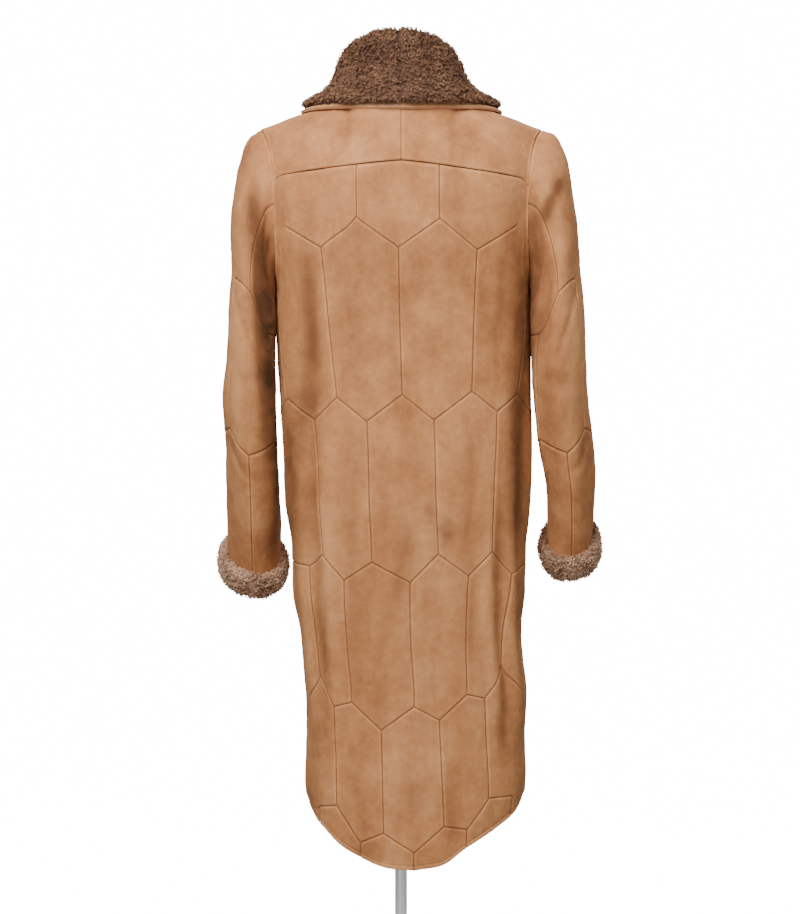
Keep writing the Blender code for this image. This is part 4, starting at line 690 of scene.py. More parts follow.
def quarter_grid(half, side, columns, rows):
    """Turns, levels and unbent levels of a grid's points, the seams' lines and the rows' armhole shares."""
    columns = np.array(columns, float)
    lines = [line_level(half, side, k, columns) for k in range(LAST_LINE + 1)]
    edge_top = float(lines[0][-1])
    seam_q = armhole_share(edge_top)
    turns, levels, flat, qs = [], [], [], []
    for k, share, off in rows:
        low = lines[min(k + 1, LAST_LINE)]
        level = lines[k] * (1 - share) + low * share + off
        edge = float(level[-1])
        q = min(float(armpit_share(edge, edge_top)), 1.0) * seam_q if edge > ARMPIT + 0.5 else None
        if abs(edge - ARMPIT) < 0.5:
            edge_share, edge_level, q = 1.0, ARMPIT, 0.0
        elif q is None:
            edge_share, edge_level = 1.0, edge
        else:
            places = armhole_places(half, armhole_level(np.array([q])))
            edge_share, edge_level = float(places[0][0]), float(places[1][0])
        share_free = column_share(half, side, columns, np.minimum(level, ARMPIT if q is not None else level))
        here = column_share(half, side, columns, level)
        anchor = np.interp(ANCHOR, columns, here)
        pull = pulled(columns, share_free)
        placed = np.where(pull > 0, anchor + pull * (edge_share - anchor), here)
        turns.append(side * placed if half == "back" else side * (2.0 - placed))
        levels.append(level + pull * (edge_level - edge))
        flat.append(level)
        qs.append(q)
    return np.array(turns), np.array(levels), np.array(flat), lines, qs


def raised(turn, level, over, rise):
    """Points of the skin moved out by its folds, the front's overlap and a further rise."""
    out = fold_rise(turn, level) + overlap_rise(turn, level, over) + rise
    return skin.point(turn, level) + skin.normal(turn, level) * out[..., None]


class Sleeve:
    """A sleeve's surface by share round it (0 outside, 0.25 back, 0.5 inside, 0.75 front) and station."""

    SHARES = np.linspace(0.0, 1.0, 129)

    def __init__(self, name, side):
        self.table = Table(SLEEVE_COLUMNS, SLEEVES[name])
        self.side = side
        self.stations = np.linspace(0, SLEEVE_END, 97)
        self.angles = np.array([self.measure(v) for v in self.stations])
        shares = np.linspace(0.0, 1.0, 65)
        here = self.plain(shares, np.zeros(65))
        self.armhole_shares = shares
        self.armhole_shift = self.armhole(shares) - here
        self.folds = Folds(SLEEVE_FOLD_COLUMNS, SLEEVE_FOLDS)

    def frame(self, v):
        at = self.table.at
        out_x, out_z, in_x, in_z = at("out_x", v), at("out_z", v), at("in_x", v), at("in_z", v)
        lean = np.radians(at("lean", v))
        depth = at("depth", v)
        middle = stack(self.side * (out_x + in_x) / 2, at("mid_y", v), (out_z + in_z) / 2)
        across = stack(self.side * (out_x - in_x) / 2, 0.0 * depth, (out_z - in_z) / 2)
        through = stack(0.0 * depth, depth * np.cos(lean), -depth * np.sin(lean))
        return middle, across, through

    def ring_point(self, angle, v):
        middle, across, through = self.frame(v)
        power = 2 / SLEEVE_SQUARENESS
        c, s = np.cos(angle), np.sin(angle)
        c, s = np.sign(c) * np.abs(c) ** power, np.sign(s) * np.abs(s) ** power
        return middle + across * c[..., None] + through * s[..., None]

    def measure(self, v):
        angle = np.linspace(0, 2 * math.pi, 721)
        points = self.ring_point(angle, np.full(angle.shape, v))
        way = run_along(points)
        return np.interp(self.SHARES, way / way[-1], angle)

    def plain(self, share, v):
        share, v = np.broadcast_arrays(np.asarray(share, float), np.asarray(v, float))
        row = np.clip(v / SLEEVE_END, 0, 1) * (len(self.stations) - 1.001)
        angle = read_grid(self.angles, row, (share % 1.0) * (len(self.SHARES) - 1.001))
        return self.ring_point(angle, v)

    def armhole(self, shares):
        rings = []
        for share in shares:
            half, q = ("back", 1 - 2 * share) if share <= 0.5 else ("front", 2 * share - 1)
            rings.append(armhole_edge(half, self.side, [q])[0][0])
        return np.array(rings)

    def point(self, share, v):
        share, v = np.broadcast_arrays(np.asarray(share, float), np.asarray(v, float))
        shift = stack(*[np.interp(share % 1.0, self.armhole_shares, part) for part in self.armhole_shift.T])
        return self.plain(share, v) + shift * (1 - smooth(v / SLEEVE_BLEND))[..., None]

    def normal(self, share, v):
        low, high = np.clip(v - 0.03, 0, SLEEVE_END - 0.06), np.clip(v + 0.03, 0.06, SLEEVE_END)
        down = self.point(share, high) - self.point(share, low)
        around = self.point(share + 0.004, v) - self.point(share - 0.004, v)
        return unit(np.cross(around, down)) * -self.side

    def raised(self, share, v, rise):
        fold = self.folds.rise(share % 1.0, v, ("g", "v"))
        return self.point(share, v) + self.normal(share, v) * (fold + rise)[..., None]


def sleeve_line(k, column):
    """Station of the sleeve's upper (0) or lower (1) zigzag at a lattice column."""
    odd, even = SLEEVE_ZIGZAGS[k]
    odd_share = 1.0 - np.abs(np.asarray(column, float) % 2.0 - 1.0)
    return even + (odd - even) * odd_share


def place_on_skin(angle, x_share, climb):
    """Turn, level and side of a collar place: climb passes 1 on its way over the shoulder to the front."""
    side = -1.0 if angle < 0 else 1.0
    half = "back" if climb <= 1.0 else "front"
    share = float(skin.share_at_x(half, x_share))
    turn = side * share if half == "back" else side * (2.0 - share)
    level = CHEST + CLIMB * (climb if half == "back" else 2.0 - climb)
    over = 0 if half == "back" else -side
    return np.array([turn]), np.array([level]), over


def collar_frame(angle, collar):
    """Neck point, direction out and sizes of the collar's section at an angle round the neck."""
    away = abs(angle)
    neck_share = NECK_X * math.sin(math.radians(away)) / TIP_X
    turn, level, over = place_on_skin(angle, neck_share, 1.0 if away <= 90 else 1.0 + 1e-9)
    neck = skin.point(turn, level)[0] + np.array([0, 0, float(overlap_rise(turn, level, over)[0])])
    turn, level, over = place_on_skin(angle, float(collar.at("share", away)), float(collar.at("climb", away)))
    edge = raised(turn, level, over, np.array([1.6]))[0]
    out = unit(np.array([edge[0] - neck[0], edge[1] - neck[1], 0.0]))
    reach = math.hypot(edge[0] - neck[0], edge[1] - neck[1])
    sizes = (reach, edge[2] - neck[2], float(collar.at("top", away)) - neck[2])
    return neck, out, sizes + (float(collar.at("thick", away)), float(collar.at("round", away)))


class Ground:
    """Heights of the made panels, seen from above."""

    def __init__(self, names):
        self.trees = []
        for name in names:
            mesh = bpy.data.objects[name].data
            corners = [vertex.co[:] for vertex in mesh.vertices]
            self.trees.append(BVHTree.FromPolygons(corners, [face.vertices[:] for face in mesh.polygons]))

    def height(self, x, y):
        """The highest panel here, or a height far below when there is none."""
        start = Vector((x * MM, y * MM, 2.0))
        hits = [tree.ray_cast(start, Vector((0.0, 0.0, -1.0)))[0] for tree in self.trees]
        return max([hit.z / MM for hit in hits if hit is not None], default=-1e6)

    def along(self, start, out, ways, beside):
        """Heights over the start point at these distances from it, and up to so far beside."""
        beside = np.array([-out[1], out[0]]) * beside
        found = []
        for way in ways:
            place = start[:2] + out[:2] * way
            found.append(max(self.height(*(place + beside * k)) for k in (-1, 0, 1)))
        return np.array(found) - start[2]


def bezier(points, t):
    """Points of the cubic curve with these four control points."""
    a, b, c, d = (np.array(p) for p in points)
    t = np.asarray(t, float)[:, None]
    return (1 - t) ** 3 * a + 3 * (1 - t) ** 2 * t * b + 3 * (1 - t) * t * t * c + t**3 * d


def collar_section(sizes, ground_at):
    """Lines of (out, up) points: the hide's inner one from the neck over the fold down to the edge, the
    wool's outer one, and the edge strip's two."""
    reach, low, high, thick, rounding = sizes
    hide = high - thick - COLLAR_FOLD
    width = 2 * COLLAR_FOLD
    stand = [(0.0, 0.0), (-1.0, hide * 0.5), (0.0, hide)]
    fold = [(COLLAR_FOLD, hide + COLLAR_FOLD)]
    start, end = (width, hide), (reach, low)
    steep, shallow = hide * 0.4 + low * 0.2, low * 0.88 + hide * 0.12
    sloping = np.array([(width + 0.05 * reach, steep), (reach * 0.45, shallow)])
    rounded = np.array([(width + 0.35 * reach, hide * 0.95), (reach, low * 0.4)])
    first, second = sloping + (rounded - sloping) * rounding
    fine = bezier((start, first, second, end), np.linspace(0, 1, 60))
    fine[:, 1] = np.maximum(fine[:, 1], ground_at(fine[:, 0]) + COLLAR_CLEAR)
    way = run_along(fine)
    break_way = way[-1] - BINDING_WIDTH
    fall_ways = [0.0, break_way * 0.3, break_way * 0.6, break_way * 0.84, break_way - SEAM_GAP]
    strip_ways = [break_way + 4.0 * SEAM_GAP, break_way + BINDING_WIDTH / 2, way[-1]]

    def on_fall(ways):
        points = stack(np.interp(ways, way, fine[:, 0]), np.interp(ways, way, fine[:, 1]))
        step = stack(
            np.interp(np.add(ways, 1.0), way, fine[:, 0]) - np.interp(np.add(ways, -1.0), way, fine[:, 0]),
            np.interp(np.add(ways, 1.0), way, fine[:, 1]) - np.interp(np.add(ways, -1.0), way, fine[:, 1]),
        )
        step = unit(step)
        return points, stack(-step[:, 1], step[:, 0])

    fall, fall_out = on_fall(fall_ways)
    strip, strip_out = on_fall(strip_ways)
    strip_out[0] = fall_out[-1]
    stand_thick = 0.62 * thick
    wool = [(-stand_thick, 0.0), (-1.0 - stand_thick, hide * 0.5), (-stand_thick * 0.95, hide + COLLAR_FOLD)]
    wool += [(COLLAR_FOLD, high)]
    wool_fall = fall + fall_out * (thick + COLLAR_SWELL)[:, None]
    wool_fall[0] = (width + 0.86 * thick, hide + 0.25 * thick)
    inner = np.array(stand + fold + fall.tolist())
    outer = np.array(wool + wool_fall.tolist())
    return inner, outer, strip, strip + strip_out * BINDING_THICK


# Fine grids of the panels

FINE_OFFS = (0.0, 0.7, 1.5, 2.6, 4.2, 6.6, 10.0, 14.5, 20.0)  # from a seam, in millimetres
ROW_STEP = 7.5
ROW_MARGIN, HEM_MARGIN = 10.0, 13.0  # kept free of even rows beside a zigzag seam, and above the hem
HEM_OFFS = (10.0, 8.2, 7.0, 6.0, 4.0, 1.8, 0.5, 0.0)  # rows above the hem, in millimetres
HEM_LEVEL = 305.0  # the height that the rows of the lowest patches are counted down to
EDGE_COLUMNS = {4.5, 4.58, 4.66, 4.74, 4.82, 4.9, 4.95, 4.98}  # columns before a panel's side
HEM_STITCH = 7.0  # from the hem, and from the front's edge, to their topstitching
BACK_PITCH = 53.0  # about the distance between the back's lattice columns


def fine_columns(first, pitch, last=EDGE):
    """Lattice columns, close together beside each seam."""
    columns = {round(first, 4), last}
    for whole in range(-1, 5):
        for off in FINE_OFFS + (pitch / 2,):
            for sign in (-1, 1):
                columns.add(round(whole + sign * off / pitch, 4))
    columns |= EDGE_COLUMNS
    kept = sorted(c for c in columns if first <= c <= last)
    return [c for i, c in enumerate(kept) if i == 0 or c - kept[i - 1] > 0.008]


def fine_rows(top_rows):
    """Rows from the panel's top to its hem, close together beside each zigzag seam."""
    heights = [0.5 * (odd + even) for odd, even in ZIGZAGS] + [HEM_LEVEL]
    rows = list(top_rows)
    for k in range(1, ZIGZAG_COUNT + 1):
        rows += [(k, 0.0, off) for off in FINE_OFFS[5:0:-1]] + [(k, 0.0, -off) for off in FINE_OFFS[:6]]
        span = heights[k - 1] - heights[k]
        low_margin = ROW_MARGIN if k < ZIGZAG_COUNT else HEM_MARGIN
        free = span - ROW_MARGIN - low_margin
        count = int(free / ROW_STEP)
        shares = {ROW_MARGIN / span + free / span * i / count for i in range(count + 1)}
        if k == 1:
            shares = {s for s in shares if abs(s - ARMPIT_ROW) > 0.015} | {ARMPIT_ROW}
        rows += [(k, share, 0.0) for share in sorted(shares)]
    return rows + [(LAST_LINE, 0.0, off) for off in HEM_OFFS]


def lattice_marks(column, z, side, top, bottom, seed):
    """Distance to the nearest patch seam, and each patch's own tone from -1 to 1."""
    bounds = [top] + [zigzag(k, column, side) for k in range(1, ZIGZAG_COUNT + 1)]
    near = np.full(np.broadcast(column, z).shape, 40.0)
    for k in range(1, ZIGZAG_COUNT + 1):
        live = (bounds[k] > bottom + 12) & ((k > 1) | (np.abs(column) < SIDE_COLUMN))
        near = np.where(live, np.minimum(near, np.abs(z - bounds[k]) * lean(k, column, z, side)), near)
    band = sum((z < bounds[k]).astype(int) for k in range(1, ZIGZAG_COUNT + 1)) + 1
    whole = np.round(column)
    has_seam = (np.abs(whole).astype(int) + band) % 2 == 0
    has_seam = has_seam & ((band > 1) | (np.abs(whole) != SIDE_COLUMN))
    beside = np.abs(column_way(column, z, side) - column_way(whole, z, side))
    near = np.where(has_seam, np.minimum(near, beside), near)
    cell = np.floor(((side or 1) * column + (band % 2)) / 2.0)
    tone = scatter(band * 31.0 + cell * 7.0 + seed)
    return near, tone


def lean(k, column, z, side):
    """Cosine of a zigzag's slope at a lattice column."""
    low = np.clip(np.floor(column), -1.0, EDGE - 1.0)
    high = low + 1.0
    run = np.abs(column_way(high, z, side) - column_way(low, z, side))
    rise = np.abs(zigzag(k, high, side) - zigzag(k, low, side))
    return run / np.hypot(run, rise)


def scatter(number):
    """A fixed number from -1 to 1 for each number."""
    share = np.sin(number * 12.9898 + 4.1414) * 43758.5453
    return 2.0 * (share - np.floor(share)) - 1.0


def cloud(points, size, seed):
    """Smooth noise from -1 to 1 with lumps of this size."""
    at = points / size + seed * 17.13
    low = np.floor(at).astype(np.int64)
    part = at - low
    part = part * part * (3.0 - 2.0 * part)
    total = np.zeros(points.shape[:-1])
    for corner in range(8):
        bits = np.array([corner & 1, corner >> 1 & 1, corner >> 2 & 1])
        cell = low + bits
        mixed = (cell[..., 0] * 73856093) ^ (cell[..., 1] * 19349663) ^ (cell[..., 2] * 83492791)
        value = ((mixed * 2654435761) >> 7 & 0xFFFF) / 32767.5 - 1.0
        weight = np.prod(np.where(bits == 1, part, 1.0 - part), axis=-1)
        total += weight * value
    return total


def painted_shading_and_wear(points, places):
    """How much the nap is darkened here by wear and by painted shade, or lightened by painted light where a
    strength is negative.
    """
    patchy = 0.9 + 0.25 * cloud(points, 21.0, 31.0) + 0.2 * cloud(points, 8.0, 32.0)
    total = np.zeros(points.shape[:-1])
    for x, z, wide, tall, strength in places:
        total += strength * np.exp(-(((points[..., 0] - x) / wide) ** 2) - ((points[..., 2] - z) / tall) ** 2)
    return total * patchy


def from_line(points, corners):
    """Distance from a line through corners of x and height, seen from behind."""
    at = points[..., (0, 2)]
    near = np.full(at.shape[:-1], 1e3)
    for a, b in zip(np.array(corners, float), np.array(corners[1:], float)):
        share = np.clip(((at - a) @ (b - a)) / ((b - a) @ (b - a)), 0, 1)
        near = np.minimum(near, np.linalg.norm(at - a - share[..., None] * (b - a), axis=-1))
    return near


def seam_relief(near):
    """The thin groove of a sewn seam between two slightly rounded edges."""
    return 0.35 * bell((near - 4.2) / 3.0) - 1.2 * bell(near / 1.1)


def creases(points, seed):
    """Small uneven rumples, in millimetres."""
    stretched = points * np.array([1.0, 1.0, 0.45])
    large, middling = 1.5 * cloud(stretched, 46.0, seed), 0.6 * cloud(points, 19.0, seed + 3)
    return large + middling + 0.22 * cloud(points, 8.0, seed + 5)


PLAIN = {"seam": 30.0}  # marks of a surface that is away from any seam


class Cloth:
    """A garment piece: outer suede, wool inside, and the marks that its finish reads."""

    def __init__(self):
        self.points, self.faces, self.slots = [], [], []
        self.marks = {"seam": [], "tone": [], "fold": [], "wear": []}

    def grid(self, points, marks):
        """Points in rows, with their marks; gives their numbers."""
        start = len(self.points)
        flat = points.reshape(-1, 3)
        self.points.extend(flat.tolist())
        for name, values in self.marks.items():
            given = np.broadcast_to(marks.get(name, 0.0), points.shape[:-1])
            values.extend(given.reshape(-1).tolist())
        return np.arange(start, start + len(flat)).reshape(points.shape[:-1])

    def skin(self, numbers, slot, closed=False):
        if closed:
            numbers = np.concatenate([numbers, numbers[:, :1]], axis=1)
        a, b, c, d = numbers[:-1, :-1], numbers[:-1, 1:], numbers[1:, 1:], numbers[1:, :-1]
        quads = np.stack([a, b, c, d], axis=-1).reshape(-1, 4).tolist()
        self.faces.extend(quads)
        self.slots.extend([slot] * len(quads))

    def rim(self, a, b, slot, way_a=None, way_b=None, closed=False):
        """Triangles between two lines of numbers, by how far along each point is."""
        a, b = list(a), list(b)
        way_a = list(np.linspace(0, 1, len(a)) if way_a is None else way_a)
        way_b = list(np.linspace(0, 1, len(b)) if way_b is None else way_b)
        if closed:
            a, b = a + a[:1], b + b[:1]
            way_a, way_b = way_a + [1.0 + way_a[0]], way_b + [1.0 + way_b[0]]
        i = j = 0
        while i < len(a) - 1 or j < len(b) - 1:
            if i < len(a) - 1 and (j == len(b) - 1 or way_a[i + 1] <= way_b[j + 1] + 1e-9):
                corners = (a[i], a[i + 1], b[j])
                i += 1
            else:
                corners = (a[i], b[j + 1], b[j])
                j += 1
            self.faces.append(corners)
            self.slots.append(slot)

    def slab(self, outer, inner, marks, inner_slot):
        """An outer and an inner surface, closed on all four sides."""
        out, ins = self.grid(outer, marks), self.grid(inner, PLAIN)
        self.skin(out, 0)
        self.skin(ins, inner_slot)
        for c in (0, -1):
            self.rim(out[:, c], ins[:, c], 0)
        for r in (0, -1):
            self.rim(out[r], ins[r], 0)

    def make(self, name, looks, replaced):
        obj = mesh_object(name, self.points, self.faces, self.marks, looks, self.slots)
        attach(obj, "root")
        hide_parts(*replaced)
        return obj


def add_object(name, data):
    """An object of this data in the scene."""
    obj = bpy.data.objects.new(name, data)
    bpy.context.scene.collection.objects.link(obj)
    return obj


def mesh_object(name, points, faces, marks, looks, slots=None, sharp=55):
    """A mesh in metres with marks on its points."""
    mesh = bpy.data.meshes.new(name)
    mesh.from_pydata((np.asarray(points, float) * MM).tolist(), [], faces)
    for look in looks:
        mesh.materials.append(look)
    if slots is not None:
        mesh.polygons.foreach_set("material_index", slots)
    for mark, values in marks.items():
        layer = mesh.attributes.new(mark, "FLOAT", "POINT")
        layer.data.foreach_set("value", np.asarray(values, np.float32))
    body = bmesh.new()
    body.from_mesh(mesh)
    bmesh.ops.recalc_face_normals(body, faces=body.faces)
    body.to_mesh(mesh)
    body.free()
    mesh.shade_smooth()
    mesh.set_sharp_from_angle(angle=math.radians(sharp))
    return add_object(name, mesh)


def inner_places(count, step):
    """Every so many of a count of numbers, and the last one."""
    return sorted(set(range(0, count - 1, step)) | {count - 1})


CLOSE_Z, CLOSE_TALL = 1125.0, 85.0  # height where the sleeves lie closest to the body, and how far it reaches


def quarter_cloth(half, side, columns, rows, over, seed):
    """Outer and inner points of a quarter of the body cloth, with its marks."""
    turn, level, flat, lines, qs = quarter_grid(half, side, columns, rows)
    column = np.broadcast_to(np.array(columns, float), flat.shape)
    lattice_side = side if half == "back" else 0
    near, tone = lattice_marks(column, flat, lattice_side, lines[0], lines[LAST_LINE], seed)
    place = skin.point(turn, level)
    rough = creases(place, seed)
    edge_fade = smooth((EDGE - column) * 5.0)
    puff = bell(((EDGE - column) * FRONT_PITCH - 9.0) / 5.0)
    close = smooth((column - 3.6) / 1.4) * bell((flat - CLOSE_Z) / CLOSE_TALL)
    rise = seam_relief(near) + rough * edge_fade + 1.3 * puff * (half == "back") + 2.2 * close
    hem_line = np.abs(flat - lines[LAST_LINE])
    rise = rise - 0.8 * bell((hem_line - HEM_STITCH) / 1.1)
    top_edge = np.abs(flat - lines[0])
    rise = rise - 1.2 * bell(top_edge / 2.0) * (half == "back")
    outer = raised(turn, level, over, rise)
    inner = raised(turn, level, over, np.full(turn.shape, -WALL))
    for r, q in enumerate(qs):
        if q is not None:
            edge_out, edge_in = armhole_edge(half, side, [q])
            outer[r, -1], inner[r, -1] = edge_out[0], edge_in[0]
        if q is None or q == 0.0:
            away = SEAM_GAP / 2 if half == "back" else -SEAM_GAP / 2
            outer[r, -1, 1] += away
            inner[r, -1, 1] += away
    # The fold mark paints shade in the troughs of the folds and creases and light on their ridges
    fold = fold_rise(turn, level) / 6.0 + rough / 4.0
    line = np.minimum(np.abs(hem_line - HEM_STITCH) + 0.5, hem_line + 0.3)
    near = np.minimum(np.minimum(near, line), np.where(half == "back", top_edge * 0.9, 40.0))
    near = np.minimum(near, (EDGE - column) * FRONT_PITCH * 0.25)
    # Real wear, painted shade in troughs and over the lower back, and painted light where a strength is
    # negative, on the back only
    wear = painted_shading_and_wear(place, BACK_WEAR_AND_SHADING) if half == "back" else 0.0 * near
    return outer, inner, {"seam": near, "tone": tone, "fold": fold, "wear": wear}


def joined(left, right):
    """Two mirrored quarters' grids as one, from the right side to the left."""
    return np.concatenate([right[:, :0:-1], left], axis=1)


def sew(name, outer, inner, marks, looks, replaced):
    """A piece with a fine outer skin and a coarser inner one."""
    cloth = Cloth()
    rows, cols = inner_places(outer.shape[0], 4), inner_places(outer.shape[1], 4)
    out = cloth.grid(outer, marks)
    ins = cloth.grid(inner[np.ix_(rows, cols)], PLAIN)
    cloth.skin(out, 0)
    cloth.skin(ins, 1)
    row_way, col_way = np.arange(outer.shape[0]), np.arange(outer.shape[1])
    for r in (0, -1):
        cloth.rim(out[r], ins[r], 1, col_way, cols)
    for c in (0, -1):
        cloth.rim(out[:, c], ins[:, c], 1, row_way, rows)
    return cloth.make(name, looks, replaced)


def make_back(looks):
    """The patchwork back below the yoke, in one piece."""
    columns = fine_columns(0.0, BACK_PITCH)
    rows = fine_rows([(0, 0.0, -YOKE_SEAM_PART)] + [(0, 0.0, -off) for off in FINE_OFFS[2:6]])
    rows = rows[:5] + [(0, share, 0.0) for share in np.linspace(0.1, 0.9, 10)] + rows[5:]
    left_out, left_in, left_marks = quarter_cloth("back", 1, columns, rows, 0, 1.0)
    right_out, right_in, right_marks = quarter_cloth("back", -1, columns, rows, 0, 1.0)
    marks = {key: joined(left_marks[key], right_marks[key]) for key in left_marks}
    outer, inner = joined(left_out, right_out), joined(left_in, right_in)
    return sew("coat_back", outer, inner, marks, looks, ["back"])


def make_front(side, looks):
    """One patchwork front, with the part of it that laps over the centre."""
    name = "front_left" if side > 0 else "front_right"
    over = -1 if side > 0 else 1
    columns = fine_columns(-OVERLAP / FRONT_PITCH, FRONT_PITCH)
    top = [(0, share, 0.0) for share in (0.0, 0.004, 0.012, 0.025, 0.045)]
    top += [(0, share, 0.0) for share in np.linspace(0.075, 0.95, 26)]
    outer, inner, marks = quarter_cloth("front", side, columns, fine_rows(top), over, 5.0 + side)
    part_at_shoulder(outer, inner, -1)
    inner[..., 1] = np.minimum(inner[..., 1], -SEAM_GAP / 2)
    past = (np.array(columns) + OVERLAP / FRONT_PITCH) * FRONT_PITCH
    line = np.minimum(np.abs(past - HEM_STITCH) + 1.0, past + 0.4)[None, :]
    marks["seam"] = np.minimum(marks["seam"], line)
    return sew("coat_" + name, outer, inner, marks, looks, [name])


def part_at_shoulder(outer, inner, back):
    """Parts the shoulder line's points from the panel on the other side."""
    on_shoulder = np.abs(outer[0, :, 1]) < 1.0
    for grid in (outer, inner):
        grid[0, on_shoulder, 1] = back * SEAM_GAP / 2


def make_yoke(side, looks):
    """One of the two plain yoke pieces over the shoulder blades."""
    name = "back_yoke_left" if side > 0 else "back_yoke_right"
    columns = np.array(fine_columns(0.0, BACK_PITCH))
    seam = yoke_seam_level(side, columns)
    edges = {0.0, 0.008, 0.018, 0.03, 0.05, 0.97, 0.985, 0.995, 1.0}
    shares = sorted(edges | set(np.linspace(0.08, 0.94, 22)), reverse=True)
    seam_q = armhole_share(float(seam[-1])) + SEAM_Q_PART
    qs = [seam_q + (1 - seam_q) * share for share in shares]
    edge_shares, edge_levels = armhole_places("back", armhole_level(np.array(qs)))
    plain = column_share("back", side, columns, np.full(len(columns), CHEST))
    plain[0] = 0.0
    anchor = np.interp(ANCHOR, columns, plain)
    pull = pulled(columns, column_share("back", side, columns, np.full(len(columns), ARMPIT)))
    turns, levels = [], []
    for share, edge_share, edge_level in zip(shares, edge_shares, edge_levels):
        level = seam + (TOP - seam) * share + (YOKE_SEAM_PART if share == 0.0 else 0.0)
        placed = np.where(pull > 0, anchor + pull * (edge_share - anchor), plain)
        level = level + pull * (edge_level - level[-1])
        turns.append(side * placed)
        levels.append(np.minimum(level, TOP))
    turn, level = np.array(turns), np.array(levels)
    from_seam = (level - seam) * 0.9
    from_middle = np.abs(turn) * skin.quarter_length("back", CHEST)
    from_edge = (EDGE - columns)[None, :] * FRONT_PITCH
    near = np.minimum(np.minimum(from_seam, from_middle), np.minimum((TOP - level) * 1.05, from_edge * 0.3))
    place = skin.point(turn, level)
    rough = creases(place, 9.0) * smooth((EDGE - columns) * 5.0)[None, :]
    puff = bell((from_edge - 9.0) / 5.0)
    outer = raised(turn, level, 0, seam_relief(near) + rough * 0.8 + 1.3 * puff)
    inner = raised(turn, level, 0, np.full(turn.shape, -WALL))
    outer[:, -1], inner[:, -1] = armhole_edge("back", side, qs)
    outer[:, 0, 0], inner[:, 0, 0] = side * SEAM_GAP / 2, side * SEAM_GAP / 2
    part_at_shoulder(outer, inner, 1)
    inner[..., 1] = np.maximum(inner[..., 1], SEAM_GAP / 2)
    pressed = sum(bell(from_line(place, corners) / 2.2) for corners in PRESSED_LINES)
    # The fold mark paints shade in the creases' dips and light on their ridges, and the whole yoke a little
    # lighter as painted light from above; the pressed lines are paler nap
    marks = {"seam": near, "tone": 0.25 * side, "fold": rough / 4.0 + 0.15 + 0.7 * pressed}
    # The yoke takes the back's wear, painted shade and painted light too
    marks["wear"] = painted_shading_and_wear(place, BACK_WEAR_AND_SHADING)
    return sew("coat_" + name, outer, inner, marks, looks, [name])


def sleeve_marks(column, v, seed):
    """Distance to the nearest seam of a sleeve's patches, and each patch's own tone."""
    first, second = sleeve_line(0, column), sleeve_line(1, column)
    near = np.minimum(np.abs(v - first), np.abs(v - second)) * STATION_MEAN * SLEEVE_SLANT
    whole = np.round(column)
    band = (v > first).astype(int) + (v > second).astype(int)
    has_seam = (whole.astype(int) + band) % 2 == 0
    near = np.where(has_seam, np.minimum(near, np.abs(column - whole) * SLEEVE_PITCH), near)
    cell = np.floor((column + (band + 1) % 2) / 2.0) % (SLEEVE_LATTICE / 2)
    return near, scatter(band * 13.0 + cell * 5.0 + seed)


SLEEVE_OFFS = (0.0, 0.8, 1.8, 3.2, 5.5, 9.0, 14.0, 19.0)  # columns beside a sleeve's seams, in millimetres
SEAM_REACH = 0.24  # stations beside a sleeve's zigzag before the even rows start


